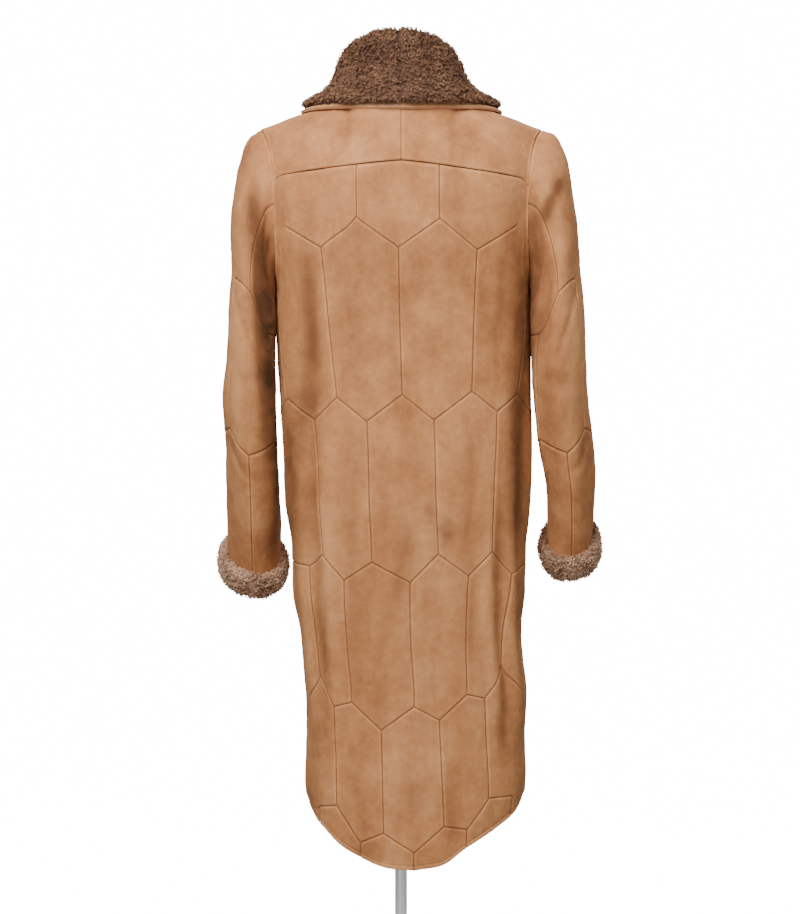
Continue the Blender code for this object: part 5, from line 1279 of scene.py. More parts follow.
def make_sleeve(name, side, looks):
    """A patchwork sleeve, from the armhole to its end inside the cuff."""
    sleeve = Sleeve(name, side)
    offs = [sign * off / SLEEVE_PITCH for off in SLEEVE_OFFS for sign in (-1, 1)]
    wholes = range(SLEEVE_LATTICE)
    columns = np.array(sorted({round(whole + off, 4) % SLEEVE_LATTICE for whole in wholes for off in offs}))
    first, second = sleeve_line(0, columns), sleeve_line(1, columns)
    steps = [off / STATION_LONG for off in SLEEVE_OFFS[:6]]
    stations = [np.full(len(columns), v) for v in (0.0, 0.03, 0.08, 0.15, 0.25)]
    stations += [0.25 + (first - 0.35) * f for f in np.linspace(0, 1, 34)[1:-1]]
    end = np.full(len(columns), SLEEVE_END)
    even = np.linspace(0, 1, 28)[:-1], np.linspace(0, 1, 29)
    for line, after, last, shares in ((first, second, SEAM_REACH, even[0]), (second, end, 0.0, even[1])):
        stations += [line - off for off in steps[:0:-1]] + [line + off for off in steps]
        stations += [line + SEAM_REACH + (after - last - line - SEAM_REACH) * f for f in shares]
    v = np.sort(np.array(stations), axis=0)
    column = np.broadcast_to(columns, v.shape)
    near, tone = sleeve_marks(column, v, 20.0 + side)
    share = column / SLEEVE_LATTICE
    place = sleeve.point(share, v)
    fade = smooth(v / 0.5) * smooth((SLEEVE_END - v) * 2.0)
    rough = creases(place, 14.0 + side) * 1.25
    elbow = sleeve_creases.rise(share, v, ("g", "v"))
    middle_x = place[..., 0].mean(axis=1, keepdims=True)
    inwards = np.clip(side * (middle_x - place[..., 0]) / 40.0, 0, 1) ** 2
    close = inwards * bell((place[..., 2] - CLOSE_Z) / CLOSE_TALL)
    puff = bell((v * STATION_MEAN - 10.0) / 5.5)
    rise = (seam_relief(near) + rough + elbow) * fade + 1.3 * puff + 3.2 * close
    outer = sleeve.raised(share, v, rise)
    inner = sleeve.raised(share, v, np.full(v.shape, -WALL))
    head = (side * HEAD_PART * (1 - smooth(v / 0.5)))[..., None] * np.array([1.0, 0.0, 0.0])
    outer, inner = outer + head, inner + head
    inner[0] = armhole_inner(outer[0])
    middle, across, through = (vector[0] for vector in sleeve.frame(np.array([SLEEVE_END])))
    along = unit(np.cross(across, through))
    inner[-1] -= ((inner[-1] - middle) @ along)[:, None] * along
    # The fold mark paints shade in the troughs of the sleeve's folds and creases and light on their ridges
    fold = sleeve.folds.rise(share, v, ("g", "v")) / 5.0 + rough / 4.0 + elbow / 5.0
    near = np.minimum(near, v * 15.0)
    # Wear, painted shade on the inner side and creases, and painted light on the outer side, kept to the
    # sleeve's back half
    behind = smooth((place[..., 1] - place[..., 1].mean(axis=1, keepdims=True)) / 30.0 + 0.5)
    wear = painted_shading_and_wear(place, LEFT_SLEEVE_WEAR_AND_SHADING if side > 0 else RIGHT_SLEEVE_WEAR_AND_SHADING) * behind
    cloth = Cloth()
    rows, cols = inner_places(v.shape[0], 4), list(range(0, v.shape[1], 4))
    out = cloth.grid(outer, {"seam": near, "tone": tone, "fold": fold, "wear": wear})
    ins = cloth.grid(inner[np.ix_(rows, cols)], PLAIN)
    cloth.skin(out, 0, closed=True)
    cloth.skin(ins, 1, closed=True)
    for r in (0, -1):
        ways = columns / SLEEVE_LATTICE
        cloth.rim(out[r], ins[r], 1, ways, ways[cols], closed=True)
    return sleeve, cloth.make("coat_sleeve_" + name, looks, ["sleeve_" + name])


# Fleece, collar and cuffs


def rounded_line(points, count, closed=False):
    """A smooth line of count points through the given ones, evenly spaced along it."""
    points = np.asarray(points, float)
    if closed:
        points = np.concatenate([points[-1:], points, points[:2]])
    else:
        points = np.concatenate([2 * points[:1] - points[1:2], points, 2 * points[-1:] - points[-2:-1]])
    t = np.linspace(0, 1, 12, endpoint=False)[:, None]
    made = []
    for a, b, c, d in zip(points, points[1:], points[2:], points[3:]):
        square, cube = (2 * a - 5 * b + 4 * c - d) * t**2, (3 * b - a - 3 * c + d) * t**3
        made.append(0.5 * (2 * b + (c - a) * t + square + cube))
    made = np.concatenate(made + [points[-2:-1]])
    way = run_along(made)
    ways = np.linspace(0, way[-1], count, endpoint=not closed)
    return np.stack([np.interp(ways, way, made[:, c]) for c in range(made.shape[1])], axis=-1)


def grid_normals(grid):
    """Normals of a grid of points, by its neighbours."""
    return unit(np.cross(np.gradient(grid, axis=0), np.gradient(grid, axis=1)))


def curly_rise(points, seed):
    """Lumps of curled wool, in millimetres."""
    fine = 1.0 - 2.0 * np.abs(cloud(points, 7.5, seed))
    finer = 1.0 - 2.0 * np.abs(cloud(points, 3.6, seed + 2))
    return 1.9 * fine + 0.8 * finer + 1.3 * cloud(points, 17.0, seed + 4)


LOCK_CURL, LOCK_WIDE = 0.20, 0.17  # a lock's curl and thickness, as shares of its length


def add_fleece(name, grid, normals, count, length, seed, look, lean=(0.0, 0.0, -0.25), parting=None):
    """Tapered curled locks of wool, joined in one mesh, over a grid of points, thinned along a parted row."""
    chance = np.random.default_rng(seed)
    a, b, c, d = grid[:-1, :-1], grid[:-1, 1:], grid[1:, 1:], grid[1:, :-1]
    area = np.linalg.norm(np.cross(c - a, d - b), axis=-1).reshape(-1)
    if parting is not None:
        bare = bell((np.arange(len(grid) - 1) + 0.5 - parting) / 1.6)
        area = (area.reshape(len(grid) - 1, -1) * (1 - 0.9 * bare[:, None])).reshape(-1)
    cell = chance.choice(len(area), count, p=area / area.sum())
    i, j = cell // (grid.shape[1] - 1), cell % (grid.shape[1] - 1)
    s, t = chance.random((count, 1)), chance.random((count, 1))
    near, far = grid[i, j] * (1 - s) + grid[i + 1, j] * s, grid[i, j + 1] * (1 - s) + grid[i + 1, j + 1] * s
    root = near * (1 - t) + far * t
    out = unit(normals[i, j] + 0.55 * chance.normal(size=(count, 3)) * 0.8 + np.array(lean))
    side = unit(np.cross(out, chance.normal(size=(count, 3))))
    other = np.cross(out, side)
    steps, sides = 4, 3
    tall = length * (0.75 + 0.5 * chance.random(count))
    curl = LOCK_CURL * length * (0.7 + 0.6 * chance.random(count))
    turns = (0.9 + 1.0 * chance.random(count)) * 2 * math.pi * np.where(chance.random(count) < 0.5, -1.0, 1.0)
    wide = LOCK_WIDE * length * (0.75 + 0.5 * chance.random(count))
    spine = []
    for step in range(steps + 1):
        u = step / steps
        phase = turns * u
        swing = curl * u**0.7
        spine.append(
            root
            + out * (tall * (u - 0.25 - 0.12 * u * u))[:, None]
            + side * (swing * np.cos(phase) - swing * 0.2)[:, None]
            + other * (swing * np.sin(phase))[:, None]
        )
    spine = np.stack(spine, axis=1)
    along = unit(np.gradient(spine, axis=1))
    first = unit(np.cross(along, out[:, None, :] + 0.31 * side[:, None, :]))
    second = np.cross(along, first)
    taper = np.array([1.0, 1.05, 0.9, 0.62])
    rings = []
    for corner in range(sides):
        angle = 2 * math.pi * corner / sides
        arm = first[:, :steps] * math.cos(angle) + second[:, :steps] * math.sin(angle)
        rings.append(spine[:, :steps] + arm * (wide[:, None] * taper)[..., None])
    rings = np.stack(rings, axis=2)
    tips = spine[:, -1:]
    points = np.concatenate([rings.reshape(count, steps * sides, 3), tips], axis=1)
    each = steps * sides + 1
    numbers = np.arange(steps * sides).reshape(steps, sides)
    after = np.roll(numbers, -1, axis=1)
    quads = np.stack([numbers[:-1], after[:-1], after[1:], numbers[1:]], axis=-1).reshape(-1, 4)
    caps = np.stack([numbers[-1], after[-1], np.full(sides, steps * sides)], axis=-1)
    offset = (np.arange(count) * each)[:, None, None]
    all_faces = (quads[None] + offset).reshape(-1, 4).tolist() + (caps[None] + offset).reshape(-1, 3).tolist()
    heights = np.concatenate([np.repeat(np.arange(steps) / steps, sides), [1.0]])
    tone = np.repeat(scatter(np.arange(count) * 1.37 + seed), each)
    marks = {"tip": np.tile(heights, count), "tone": tone}
    obj = mesh_object(name, points.reshape(-1, 3), all_faces, marks, [look], sharp=80)
    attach(obj, "root")


FINE_COLLAR_SECTIONS = 250
FINE_WOOL, FINE_HIDE, FINE_STRIP = 74, 16, 10  # points across the wool, the hide and the edge strip
WOOL_OVERHANG = 6.0  # how far the fall's wool hangs over its pale edge
WOOL_INSET = 3.2  # the fleece's matted body lies this far inside the wool's reach


def make_collar(wool_look, locks_look, edge_look, lock_count):
    """The folded collar's wool and hide, its locks and the suede strip along its edge."""
    collar = Table(COLLAR_COLUMNS, COLLAR)
    ground = Ground(("back", "back_yoke_left", "back_yoke_right", "front_left", "front_right"))
    coarse_angles = np.linspace(-COLLAR_END, COLLAR_END, COLLAR_SECTIONS)
    sections, strips = [], []
    for angle in coarse_angles:
        neck, out, sizes = collar_frame(angle, collar)
        seat = ground.along(neck, out, np.linspace(-COLLAR_STAND_REACH, 2 * COLLAR_FOLD, 13), 1.0).max()
        neck[2] += max(0.0, seat) + COLLAR_SEAT
        lines = collar_section(sizes, lambda ways: ground.along(neck, out, ways, COLLAR_BESIDE))
        up = np.array([COLLAR_LEAN, 0.0, 1.0])
        placed = [neck + line[:, :1] * out + line[:, 1:] * up for line in lines]
        sections.append(np.stack(placed[:2]))
        strips.append(np.stack(placed[2:]))
    sections, strips = evened(np.array(sections)), evened(np.array(strips))
    fine = np.linspace(0, 1, FINE_COLLAR_SECTIONS)
    own = np.linspace(0, 1, COLLAR_SECTIONS)
    sections = between(sections, own, fine)
    hide = np.array([rounded_line(section[0], FINE_HIDE) for section in sections])
    wool_line = sections[:, 1] - unit(sections[:, 1] - sections[:, 0]) * WOOL_INSET
    wool_line[:, -1] = sections[:, 0, -1] + (sections[:, 1, -1] - sections[:, 0, -1]) * 0.72
    down = unit(sections[:, 0, -1] - sections[:, 0, -2])
    wool_line[:, -1] += down * WOOL_OVERHANG
    wool_line[:, -2] += down * WOOL_OVERHANG * 0.4
    feet = sections[:, :1, -1] * 0.55 + sections[:, 1:, -1] * 0.45
    lines = [np.concatenate([line, foot]) for line, foot in zip(wool_line, feet)]
    wool = np.array([rounded_line(line, FINE_WOOL) for line in lines])
    normals = grid_normals(wool)
    away = unit(wool[:, 20] - hide[:, 5])
    if (normals[:, 20] * away).sum() < 0:
        normals = -normals
    ends = smooth(np.minimum(fine, 1 - fine) * 40)[:, None]
    seam = bell((fine - 0.5) * 500 / 3.0)[:, None]
    lumps = curly_rise(wool, 3.0) * (0.35 + 0.65 * ends) - 3.0 * seam
    body = wool + normals * lumps[..., None]
    cloth = Cloth()
    # The fleece body's tone paints shade between the wool's lumps and in the centre back seam's groove, and
    # light on the lumps
    cloth.slab(body, hide, PLAIN | {"tone": lumps / 3.0 - 5.0 * seam}, 1)
    cloth.make("collar_fleece", [wool_look, edge_look], ["collar"])
    parting = FINE_COLLAR_SECTIONS / 2
    add_fleece("collar_locks", body, normals, lock_count, 9.0, 11, locks_look, parting=parting)
    strip = between(strips, own, fine[::2])
    inner = np.array([rounded_line(section[0], 6) for section in strip])
    outer = np.array([rounded_line(section[1], FINE_STRIP) for section in strip])
    swell = np.sin(np.linspace(0.06, 0.94, FINE_STRIP) * math.pi)[None, :, None] ** 0.5
    lift = unit(outer - np.array([rounded_line(section[0], FINE_STRIP) for section in strip]))
    outer = outer - lift * (1 - swell) * 1.6 + lift * (0.5 * cloud(outer, 14.0, 8.0))[..., None]
    band = Cloth()
    place = np.arange(FINE_STRIP)
    across = np.minimum(place, FINE_STRIP - 1 - place)[None, :] * 1.7 + 1.2
    band.slab(outer, inner, {"seam": across, "tone": 0.4}, 0)
    band.make("collar_edge", [edge_look], ["collar_binding"])


def evened(sections):
    """Sections with the unevenness along the collar taken out."""
    for _ in range(2):
        sections[1:-1] = 0.25 * sections[:-2] + 0.5 * sections[1:-1] + 0.25 * sections[2:]
    return sections


def between(sections, own, wanted):
    """Sections at the wanted shares of the collar's length, from those at their own shares."""
    flat = sections.reshape(len(sections), -1)
    made = np.stack([np.interp(wanted, own, flat[:, c]) for c in range(flat.shape[1])], axis=-1)
    return made.reshape((len(wanted),) + sections.shape[1:])


def wrapped(grid):
    """A grid with its first column and row again at the end."""
    grid = np.concatenate([grid, grid[:, :1]], axis=1)
    return np.concatenate([grid, grid[:1]], axis=0)


def make_cuff(name, sleeve, look, lock_count):
    """The wool ring past a sleeve's end."""
    count, fine = 130, 46
    share = np.arange(count) / count
    end = np.full(count, SLEEVE_END)
    ring = sleeve.raised(share, end, np.zeros(count))
    _, across, through = sleeve.frame(np.array([SLEEVE_END]))
    along = unit(np.cross(across[0], through[0]))
    along = along * (-1.0 if along[2] > 0 else 1.0)
    before, after = np.roll(ring, 3, axis=0), np.roll(ring, -3, axis=0)
    out = unit(np.cross(after - before, along))
    middle = ring.mean(axis=0)
    out = out * np.where(((ring - middle) * out).sum(axis=1) < 0, -1.0, 1.0)[:, None]
    section = rounded_line(CUFF_SECTION, fine, closed=True)
    core = section.mean(axis=0)
    section = core + (section - core) * (1 - WOOL_INSET / CUFF_HALF)
    low, high = section[:, 1].min(), section[:, 1].max()
    section[:, 1] = 0.4 + (section[:, 1] - low) * (high - 0.4) / (high - low)
    grid = ring[:, None] + out[:, None] * section[None, :, :1] + along * section[None, :, 1:]
    centre = ring[:, None] + out[:, None] * core[0] + along * core[1]
    normals = unit(grid - centre)
    lumps = curly_rise(grid, 7.0 + len(name))
    body = grid + normals * lumps[..., None] * smooth((section[:, 1] - 0.8) / 5.0)[None, :, None]
    cloth = Cloth()
    # The cuff's tone paints shade between the wool's lumps and light on them
    cloth.skin(wrapped(cloth.grid(body, PLAIN | {"tone": lumps / 3.0})), 0)
    cloth.make("cuff_fleece_" + name, [look], ["cuff_" + name])
    body, normals, seed = wrapped(body), wrapped(normals), 23 + len(name)
    add_fleece("cuff_locks_" + name, body, normals, lock_count, 8.0, seed, look, (0, 0, -0.1))


# Buttons


def make_button(number, height, look, thread_look):
    """A dished disc, without its four holes, sewn on with crossed thread."""
    turn, level = np.array([-2.0 + 1e-4]), np.array([height])
    out = skin.normal(turn, level)[0]
    seat = raised(turn, level, 1, np.array([0.5]))[0]
    across = unit(np.cross(out, np.array([0.0, 0.0, 1.0])))
    up = np.cross(across, out)
    r = BUTTON_RADIUS
    profile = ((r - 2.4, 0.0), (r - 0.8, 0.5), (r, 1.8), (r, 3.0), (r - 0.7, 4.3), (r - 2.0, 5.0))
    profile += ((r - 3.4, 4.7), (r - 4.6, 3.6), (r - 6.4, 3.2), (4.0, 3.1), (0.4, 3.1))
    angle = 2 * math.pi * np.arange(48) / 48
    rows = []
    for radius, rise in profile:
        spoke = np.cos(angle)[:, None] * across + np.sin(angle)[:, None] * up
        rows.append(seat + radius * spoke + out * rise)
    cloth = Cloth()
    numbers = cloth.grid(np.array(rows), PLAIN)
    cloth.skin(numbers, 0, closed=True)
    for row in (numbers[0], numbers[-1]):
        cloth.faces.append(tuple(row.tolist()))
        cloth.slots.append(0)
    lift = 3.3  # where the thread lies over the button's seat
    for sign in (-1, 1):
        crossing = lift + 0.9 + 0.3 * sign
        path = [(-2.6, lift - 1.2), (-2.5, lift), (-1.0, crossing)]
        path += [(1.0, crossing), (2.5, lift), (2.6, lift - 1.2)]
        slant = unit(across + sign * up)
        beside = unit(across - sign * up)
        spine = np.array([seat + slant * p + out * h for p, h in path])
        corner = 2 * math.pi * np.arange(6)[None, :, None] / 6
        tube = spine[:, None] + 0.6 * (np.cos(corner) * beside + np.sin(corner) * out)
        cloth.skin(cloth.grid(tube, PLAIN), 1, closed=True)
    cloth.make(f"coat_button_{number}", [look, thread_look], [f"button_{number}"])


# Finishes


def both_ways(operation):
    """An operator between numbers, and its reflected form."""
    return (
        lambda self, other: self.worked(operation, self, other),
        lambda self, other: self.worked(operation, other, self),
    )


class Number:
    """A number in a node tree, so that shader maths reads as an expression."""

    def __init__(self, look, socket):
        self.look, self.socket = look, socket

    def worked(self, operation, *values):
        node = self.look.node("ShaderNodeMath", {"operation": operation}, dict(enumerate(values)))
        return Number(self.look, node.outputs[0])

    __add__, __radd__ = both_ways("ADD")
    __sub__, __rsub__ = both_ways("SUBTRACT")
    __mul__, __rmul__ = both_ways("MULTIPLY")
    __truediv__, __rtruediv__ = both_ways("DIVIDE")

    def held(self):
        """Kept from 0 to 1."""
        node = self.look.node("ShaderNodeClamp", {}, {0: self})
        return Number(self.look, node.outputs[0])

    def between(self, low, high):
        """0 at low and below, 1 at high and above."""
        return ((self - low) / (high - low)).held()


class Look:
    """A material made from nodes."""

    def __init__(self, name):
        self.material = bpy.data.materials.new(name)
        self.material.use_nodes = True
        self.tree = self.material.node_tree
        self.shader = self.tree.nodes["Principled BSDF"]
        self.place = self.node("ShaderNodeTexCoord", {}, {}).outputs["Object"]

    def node(self, kind, settings, inputs):
        """A node of this type, its settings first and then its sockets' values or links."""
        node = self.tree.nodes.new(kind)
        for key, value in settings.items():
            setattr(node, key, value)
        for key, value in inputs.items():
            self.feed(node.inputs[key], value)
        return node

    def feed(self, socket, value):
        """Links a number or a socket to this socket, or sets its value."""
        if isinstance(value, Number):
            self.tree.links.new(value.socket, socket)
        elif isinstance(value, bpy.types.NodeSocket):
            self.tree.links.new(value, socket)
        elif isinstance(value, tuple) and len(value) == 3 and socket.type == "RGBA":
            socket.default_value = (*value, 1.0)
        else:
            socket.default_value = value

    def mark(self, name):
        """A mark of the mesh's points."""
        node = self.node("ShaderNodeAttribute", {"attribute_name": name}, {})
        return Number(self, node.outputs["Fac"])

    def noise(self, scale, detail, rough, stretch=(1.0, 1.0, 1.0), offset=0.0):
        """Noise at this many lumps a metre, stretched along the axes."""
        place = self.place
        if stretch != (1.0, 1.0, 1.0) or offset:
            inputs = {"Vector": place, "Location": (offset,) * 3, "Scale": stretch}
            place = self.node("ShaderNodeMapping", {}, inputs).outputs[0]
        inputs = {"Vector": place, "Scale": scale, "Detail": detail, "Roughness": rough}
        return Number(self, self.node("ShaderNodeTexNoise", {}, inputs).outputs[0])

    def mix(self, factor, first, second):
        """A colour between two."""
        node = self.node("ShaderNodeMix", {"data_type": "RGBA"}, {"Factor": factor})
        self.feed(node.inputs[6], first)
        self.feed(node.inputs[7], second)
        return node.outputs[2]

    def shaded(self, shade, dark, middle, light):
        """A colour from dark at 0 over middle at a half to light at 1."""
        colour = self.mix(shade.between(0.0, 0.5), dark, middle)
        return self.mix(shade.between(0.5, 1.0), colour, light)

    def bump(self, height, depth, strength=1.0, over=None):
        """A normal from a height of this many metres."""
        inputs = {"Height": height, "Distance": depth, "Strength": strength}
        if over is not None:
            inputs["Normal"] = over
        return self.node("ShaderNodeBump", {}, inputs).outputs[0]

    def finish(self, **sockets):
        """The material, once the shader's sockets are fed."""
        for name, value in sockets.items():
            self.feed(self.shader.inputs[name.replace("_", " ").title().replace("Ior", "IOR")], value)
        return self.material


def deeper(colour, share):
    """A colour taken to this share of its light."""
    return tuple(c * share for c in colour)


def suede_look(name, dark, middle, light, line):
    """Napped suede: cloudy colour, rubbed lighter beside the seams and darker in them, with painted shade and
    painted light from its folds, its worn places and its shaded places.
    """
    look = Look(name)
    clouds = look.noise(8.0, 5.0, 0.66, (1.0, 1.0, 0.55))
    streaks = look.noise(26.0, 4.0, 0.6, (1.0, 1.0, 0.22), 13.0)
    blots = look.noise(21.0, 4.0, 0.6, offset=3.0)
    grain = look.noise(95.0, 4.0, 0.65, offset=7.0)
    nap = look.noise(900.0, 3.0, 0.7)
    seam, tone, fold, wear = look.mark("seam"), look.mark("tone"), look.mark("fold"), look.mark("wear")
    shade = (clouds - 0.5) * 1.0 + (streaks - 0.5) * 0.75 + (blots - 0.5) * 0.75
    shade = shade + (grain - 0.5) * 0.55 + (nap - 0.5) * 0.4
    # fold paints shade in the troughs of folds and creases and light on their ridges
    shade = shade + tone * 0.05 + fold * 0.20 + 0.48
    rubbed = (1.0 - (seam - 2.6).worked("ABSOLUTE", seam - 2.6) / 2.2).held()
    shade = (shade + rubbed * (0.06 + 0.22 * blots)).held()
    colour = look.shaded(shade, dark, middle, light)
    # Wear and painted shade darken the nap; past a strength of 1 it turns to a near black painted shadow, and
    # a negative strength paints light with a brighter copy of the light colour
    colour = look.mix((wear * (0.7 + 0.6 * blots)).held() * 0.9, colour, deeper(dark, 0.62))
    colour = look.mix(wear.between(1.0, 2.6), colour, deeper(dark, 0.18))
    colour = look.mix((wear * (-0.5 - 0.3 * blots)).held(), colour, deeper(light, 1.2))
    stitched = (1.0 - seam.between(0.2, 0.95)) * (0.35 + 0.75 * grain)
    colour = look.mix(stitched, colour, line)
    nap_bump = look.bump(nap + grain * 0.6, 0.0007, 0.5)
    soft_bump = look.bump(look.noise(240.0, 3.0, 0.6, offset=11.0), 0.0012, 0.35, nap_bump)
    rough = 0.93 - 0.08 * blots
    return look.finish(base_color=colour, roughness=rough, normal=soft_bump, sheen_weight=0.16,
                       sheen_roughness=0.5, sheen_tint=middle, specular_ior_level=0.18)


def fleece_look(name, root, body, tip):
    """Curled wool, with painted shade between the locks and down towards their roots, and lighter at their
    tips.
    """
    look = Look(name)
    clouds = look.noise(30.0, 3.0, 0.6)
    curls = look.noise(150.0, 4.0, 0.65, offset=5.0)
    fibres = look.noise(1400.0, 2.0, 0.7)
    high, tone = look.mark("tip"), look.mark("tone")
    # tip paints shade towards the locks' roots; tone is each lock's own tone on the locks, and on the fleece
    # bodies it paints shade between the wool's lumps and light on them
    shade = 0.14 + high * 0.60 + tone * 0.08 + (clouds - 0.5) * 1.1
    shade = shade + (curls - 0.5) * 0.8 + (fibres - 0.5) * 0.2
    colour = look.shaded(shade.held(), root, body, tip)
    bump = look.bump(curls + fibres * 0.5, 0.0016, 0.7)
    return look.finish(base_color=colour, roughness=0.9, normal=bump, sheen_weight=0.2,
                       sheen_roughness=0.4, sheen_tint=tip, specular_ior_level=0.2)


def steel_look(name, colour):
    """Brushed steel with fine upright and turned scratches."""
    look = Look(name)
    lines = look.noise(60.0, 4.0, 0.6, (1.0, 1.0, 14.0))
    soil = look.noise(14.0, 3.0, 0.6, offset=2.0)
    tint = look.mix((soil - 0.2).held(), deeper(colour, 0.82), colour)
    rough = 0.24 + lines * 0.18
    return look.finish(base_color=tint, metallic=0.1, roughness=rough, normal=look.bump(lines, 0.0002, 0.3))


def knit_look(name, colour):
    """The form's close-knit cover, with fine upright ribs."""
    look = Look(name)
    wave = look.node("ShaderNodeTexWave", {"wave_type": "BANDS", "bands_direction": "X"},
                     {"Vector": look.place, "Scale": 190.0, "Distortion": 1.2, "Detail": 1.0})
    ribs = Number(look, wave.outputs["Fac"])
    threads = look.noise(700.0, 2.0, 0.6, (1.0, 1.0, 0.4))
    tint = look.mix((ribs * 0.5 + threads * 0.5).held(), deeper(colour, 0.8), colour)
    bump = look.bump(ribs + threads, 0.0005, 0.5)
    return look.finish(base_color=tint, roughness=0.92, normal=bump, sheen_weight=0.15)


def horn_look(name, dark, light):
    """Button horn: streaked brown with a half gloss."""
    look = Look(name)
    streaks = look.noise(45.0, 5.0, 0.6, (1.0, 1.0, 4.0))
    colour = look.mix(streaks.between(0.35, 0.68), dark, light)
    return look.finish(base_color=colour, roughness=0.32 + 0.15 * streaks, coat_weight=0.3,
                       normal=look.bump(streaks, 0.0003, 0.3))


def thread_look(name, colour):
    """Twisted thread."""
    look = Look(name)
    twist = look.noise(1500.0, 2.0, 0.5, (1.0, 1.0, 0.5))
    tint = look.mix(twist, deeper(colour, 0.6), colour)
    return look.finish(base_color=tint, roughness=0.7, normal=look.bump(twist, 0.0002, 0.6))


def paper_look(name, colour):
    """Matt studio paper that glows away from the stand."""
    look = Look(name)
    patchy = look.noise(1.5, 2.0, 0.5)
    glow = look.mix(look.mark("glow"), (0.0, 0.0, 0.0), (1.0, 1.0, 1.0))
    tint = look.mix(patchy, deeper(colour, 0.985), colour)
    return look.finish(base_color=tint, roughness=0.95, emission_color=glow, emission_strength=16.0)


# Sizes, finishes and pieces as a maker would set them


# Each finish by its name: its maker and the colours that it takes
FINISHES = {
    "napped suede": (suede_look, ("suede_dark", "suede", "suede_light", "seam")),
    "suede edge": (suede_look, ("suede", "edge", "edge_light", "seam")),
    "matted fleece": (fleece_look, ("wool_root", "wool", "wool_tip")),
    "fleece locks": (fleece_look, ("wool_root", "wool", "wool_tip")),
    "cuff fleece": (fleece_look, ("wool", "cuff_wool", "cuff_tip")),
    "brushed steel": (steel_look, ("steel",)),
    "knit cover": (knit_look, ("cover",)),
    "horn": (horn_look, ("horn", "horn_light")),
    "thread": (thread_look, ("thread",)),
    "studio paper": (paper_look, ("paper",)),
}


def find_look(name):
    """The finish of this name, made on first use from the panel's colours."""
    if name in bpy.data.materials:
        return bpy.data.materials[name]
    maker, names = FINISHES[name]
    colours = bpy.context.scene.shearling_colours
    return maker(name, *(tuple(getattr(colours, each)) for each in names))


def suede_and_wool():
    """The two finishes of a coat piece, outside and inside."""
    return [find_look("napped suede"), find_look("matted fleece")]


def colour(name, value, description):
    """A colour that the panel shows."""
    return bpy.props.FloatVectorProperty(
        name=name, description=description, subtype="COLOR", size=3, min=0.0, max=1.0, default=value
    )


class ShearlingColours(bpy.types.PropertyGroup):
    """Colours of the coat, its stand and the studio."""

    suede: colour("Suede", (0.43, 0.18, 0.068), "Middle tone of the napped suede")
    # The shade colour gives the suede's dark clouds and also the painted shade in the troughs of its folds;
    # darker copies of it paint the shade of worn and shaded places
    suede_dark: colour("Suede shade", (0.25, 0.095, 0.035), "Dark clouds and worn troughs of the suede")
    # The light colour gives brushed and rubbed places and also the painted light on the folds' ridges; a
    # brighter copy paints light where the wear and shading mark is negative
    suede_light: colour("Suede light", (0.60, 0.29, 0.125), "Brushed and rubbed places of the suede")
    seam: colour("Seam", (0.10, 0.04, 0.016), "Shadowed line of the sewn seams")
    edge: colour("Edge", (0.47, 0.23, 0.11), "Cut suede edge under the collar's wool")
    edge_light: colour("Edge light", (0.60, 0.34, 0.18), "Light nap of the cut edge")
    wool_root: colour("Wool root", (0.065, 0.032, 0.02), "Shadow between the locks")
    wool: colour("Wool", (0.18, 0.088, 0.048), "Body of the wool")
    wool_tip: colour("Wool tips", (0.34, 0.185, 0.105), "Lighter ends of the locks")
    cuff_wool: colour("Cuff wool", (0.52, 0.31, 0.195), "Body of the cuffs' wool, lighter than the collar's")
    cuff_tip: colour("Cuff wool tips", (0.76, 0.51, 0.36), "Lighter ends of the cuffs' locks")
    steel: colour("Steel", (0.92, 0.89, 0.86), "Pole, base and neck cap")
    cover: colour("Form cover", (0.72, 0.68, 0.60), "Knit cover of the dress form")
    horn: colour("Button", (0.045, 0.022, 0.012), "Dark streaks of the buttons")
    horn_light: colour("Button light", (0.16, 0.085, 0.045), "Light streaks of the buttons")
    thread: colour("Thread", (0.20, 0.11, 0.06), "Button thread")
    paper: colour("Paper", (0.93, 0.93, 0.925), "Studio floor and backdrop")


class ShearlingSizes(bpy.types.PropertyGroup):
    """Amounts of wool and the camera's place."""

    collar_locks: bpy.props.IntProperty(
        name="Collar locks", description="How many wool locks the collar has", default=8200, min=0, max=9000
    )
    cuff_locks: bpy.props.IntProperty(
        name="Cuff locks", description="How many wool locks each cuff has", default=4200, min=0, max=8000
    )
    camera_distance: bpy.props.FloatProperty(
        name="Camera distance", description="From the camera to the coat", default=7.0, min=2.0, unit="LENGTH"
    )
    camera_height: bpy.props.FloatProperty(
        name="Camera height", description="The level camera's height", default=0.9145, min=0.0, unit="LENGTH"
    )
    view_height: bpy.props.FloatProperty(
        name="View height", description="Height of the view at the coat", default=1.371, min=0.1,
        unit="LENGTH",
    )


class PieceOperator(bpy.types.Operator):
    """Base of the operators that make the pieces."""

    bl_options = {"REGISTER", "UNDO"}

    @property
    def sizes(self):
        return bpy.context.scene.shearling_sizes


class SHEARLING_OT_back(PieceOperator):
    """Make the patchwork back and the two yoke pieces"""

    bl_idname = "shearling.back"
    bl_label = "Back and yoke"

    def execute(self, context):
        looks = suede_and_wool()
        back = make_back(looks)
        for side in (1, -1):
            yoke = make_yoke(side, looks)
        return {"FINISHED"}


class SHEARLING_OT_fronts(PieceOperator):
    """Make the two patchwork fronts, closed right over left"""

    bl_idname = "shearling.fronts"
    bl_label = "Fronts"

    def execute(self, context):
        looks = suede_and_wool()
        for side in (1, -1):
            front = make_front(side, looks)
        return {"FINISHED"}


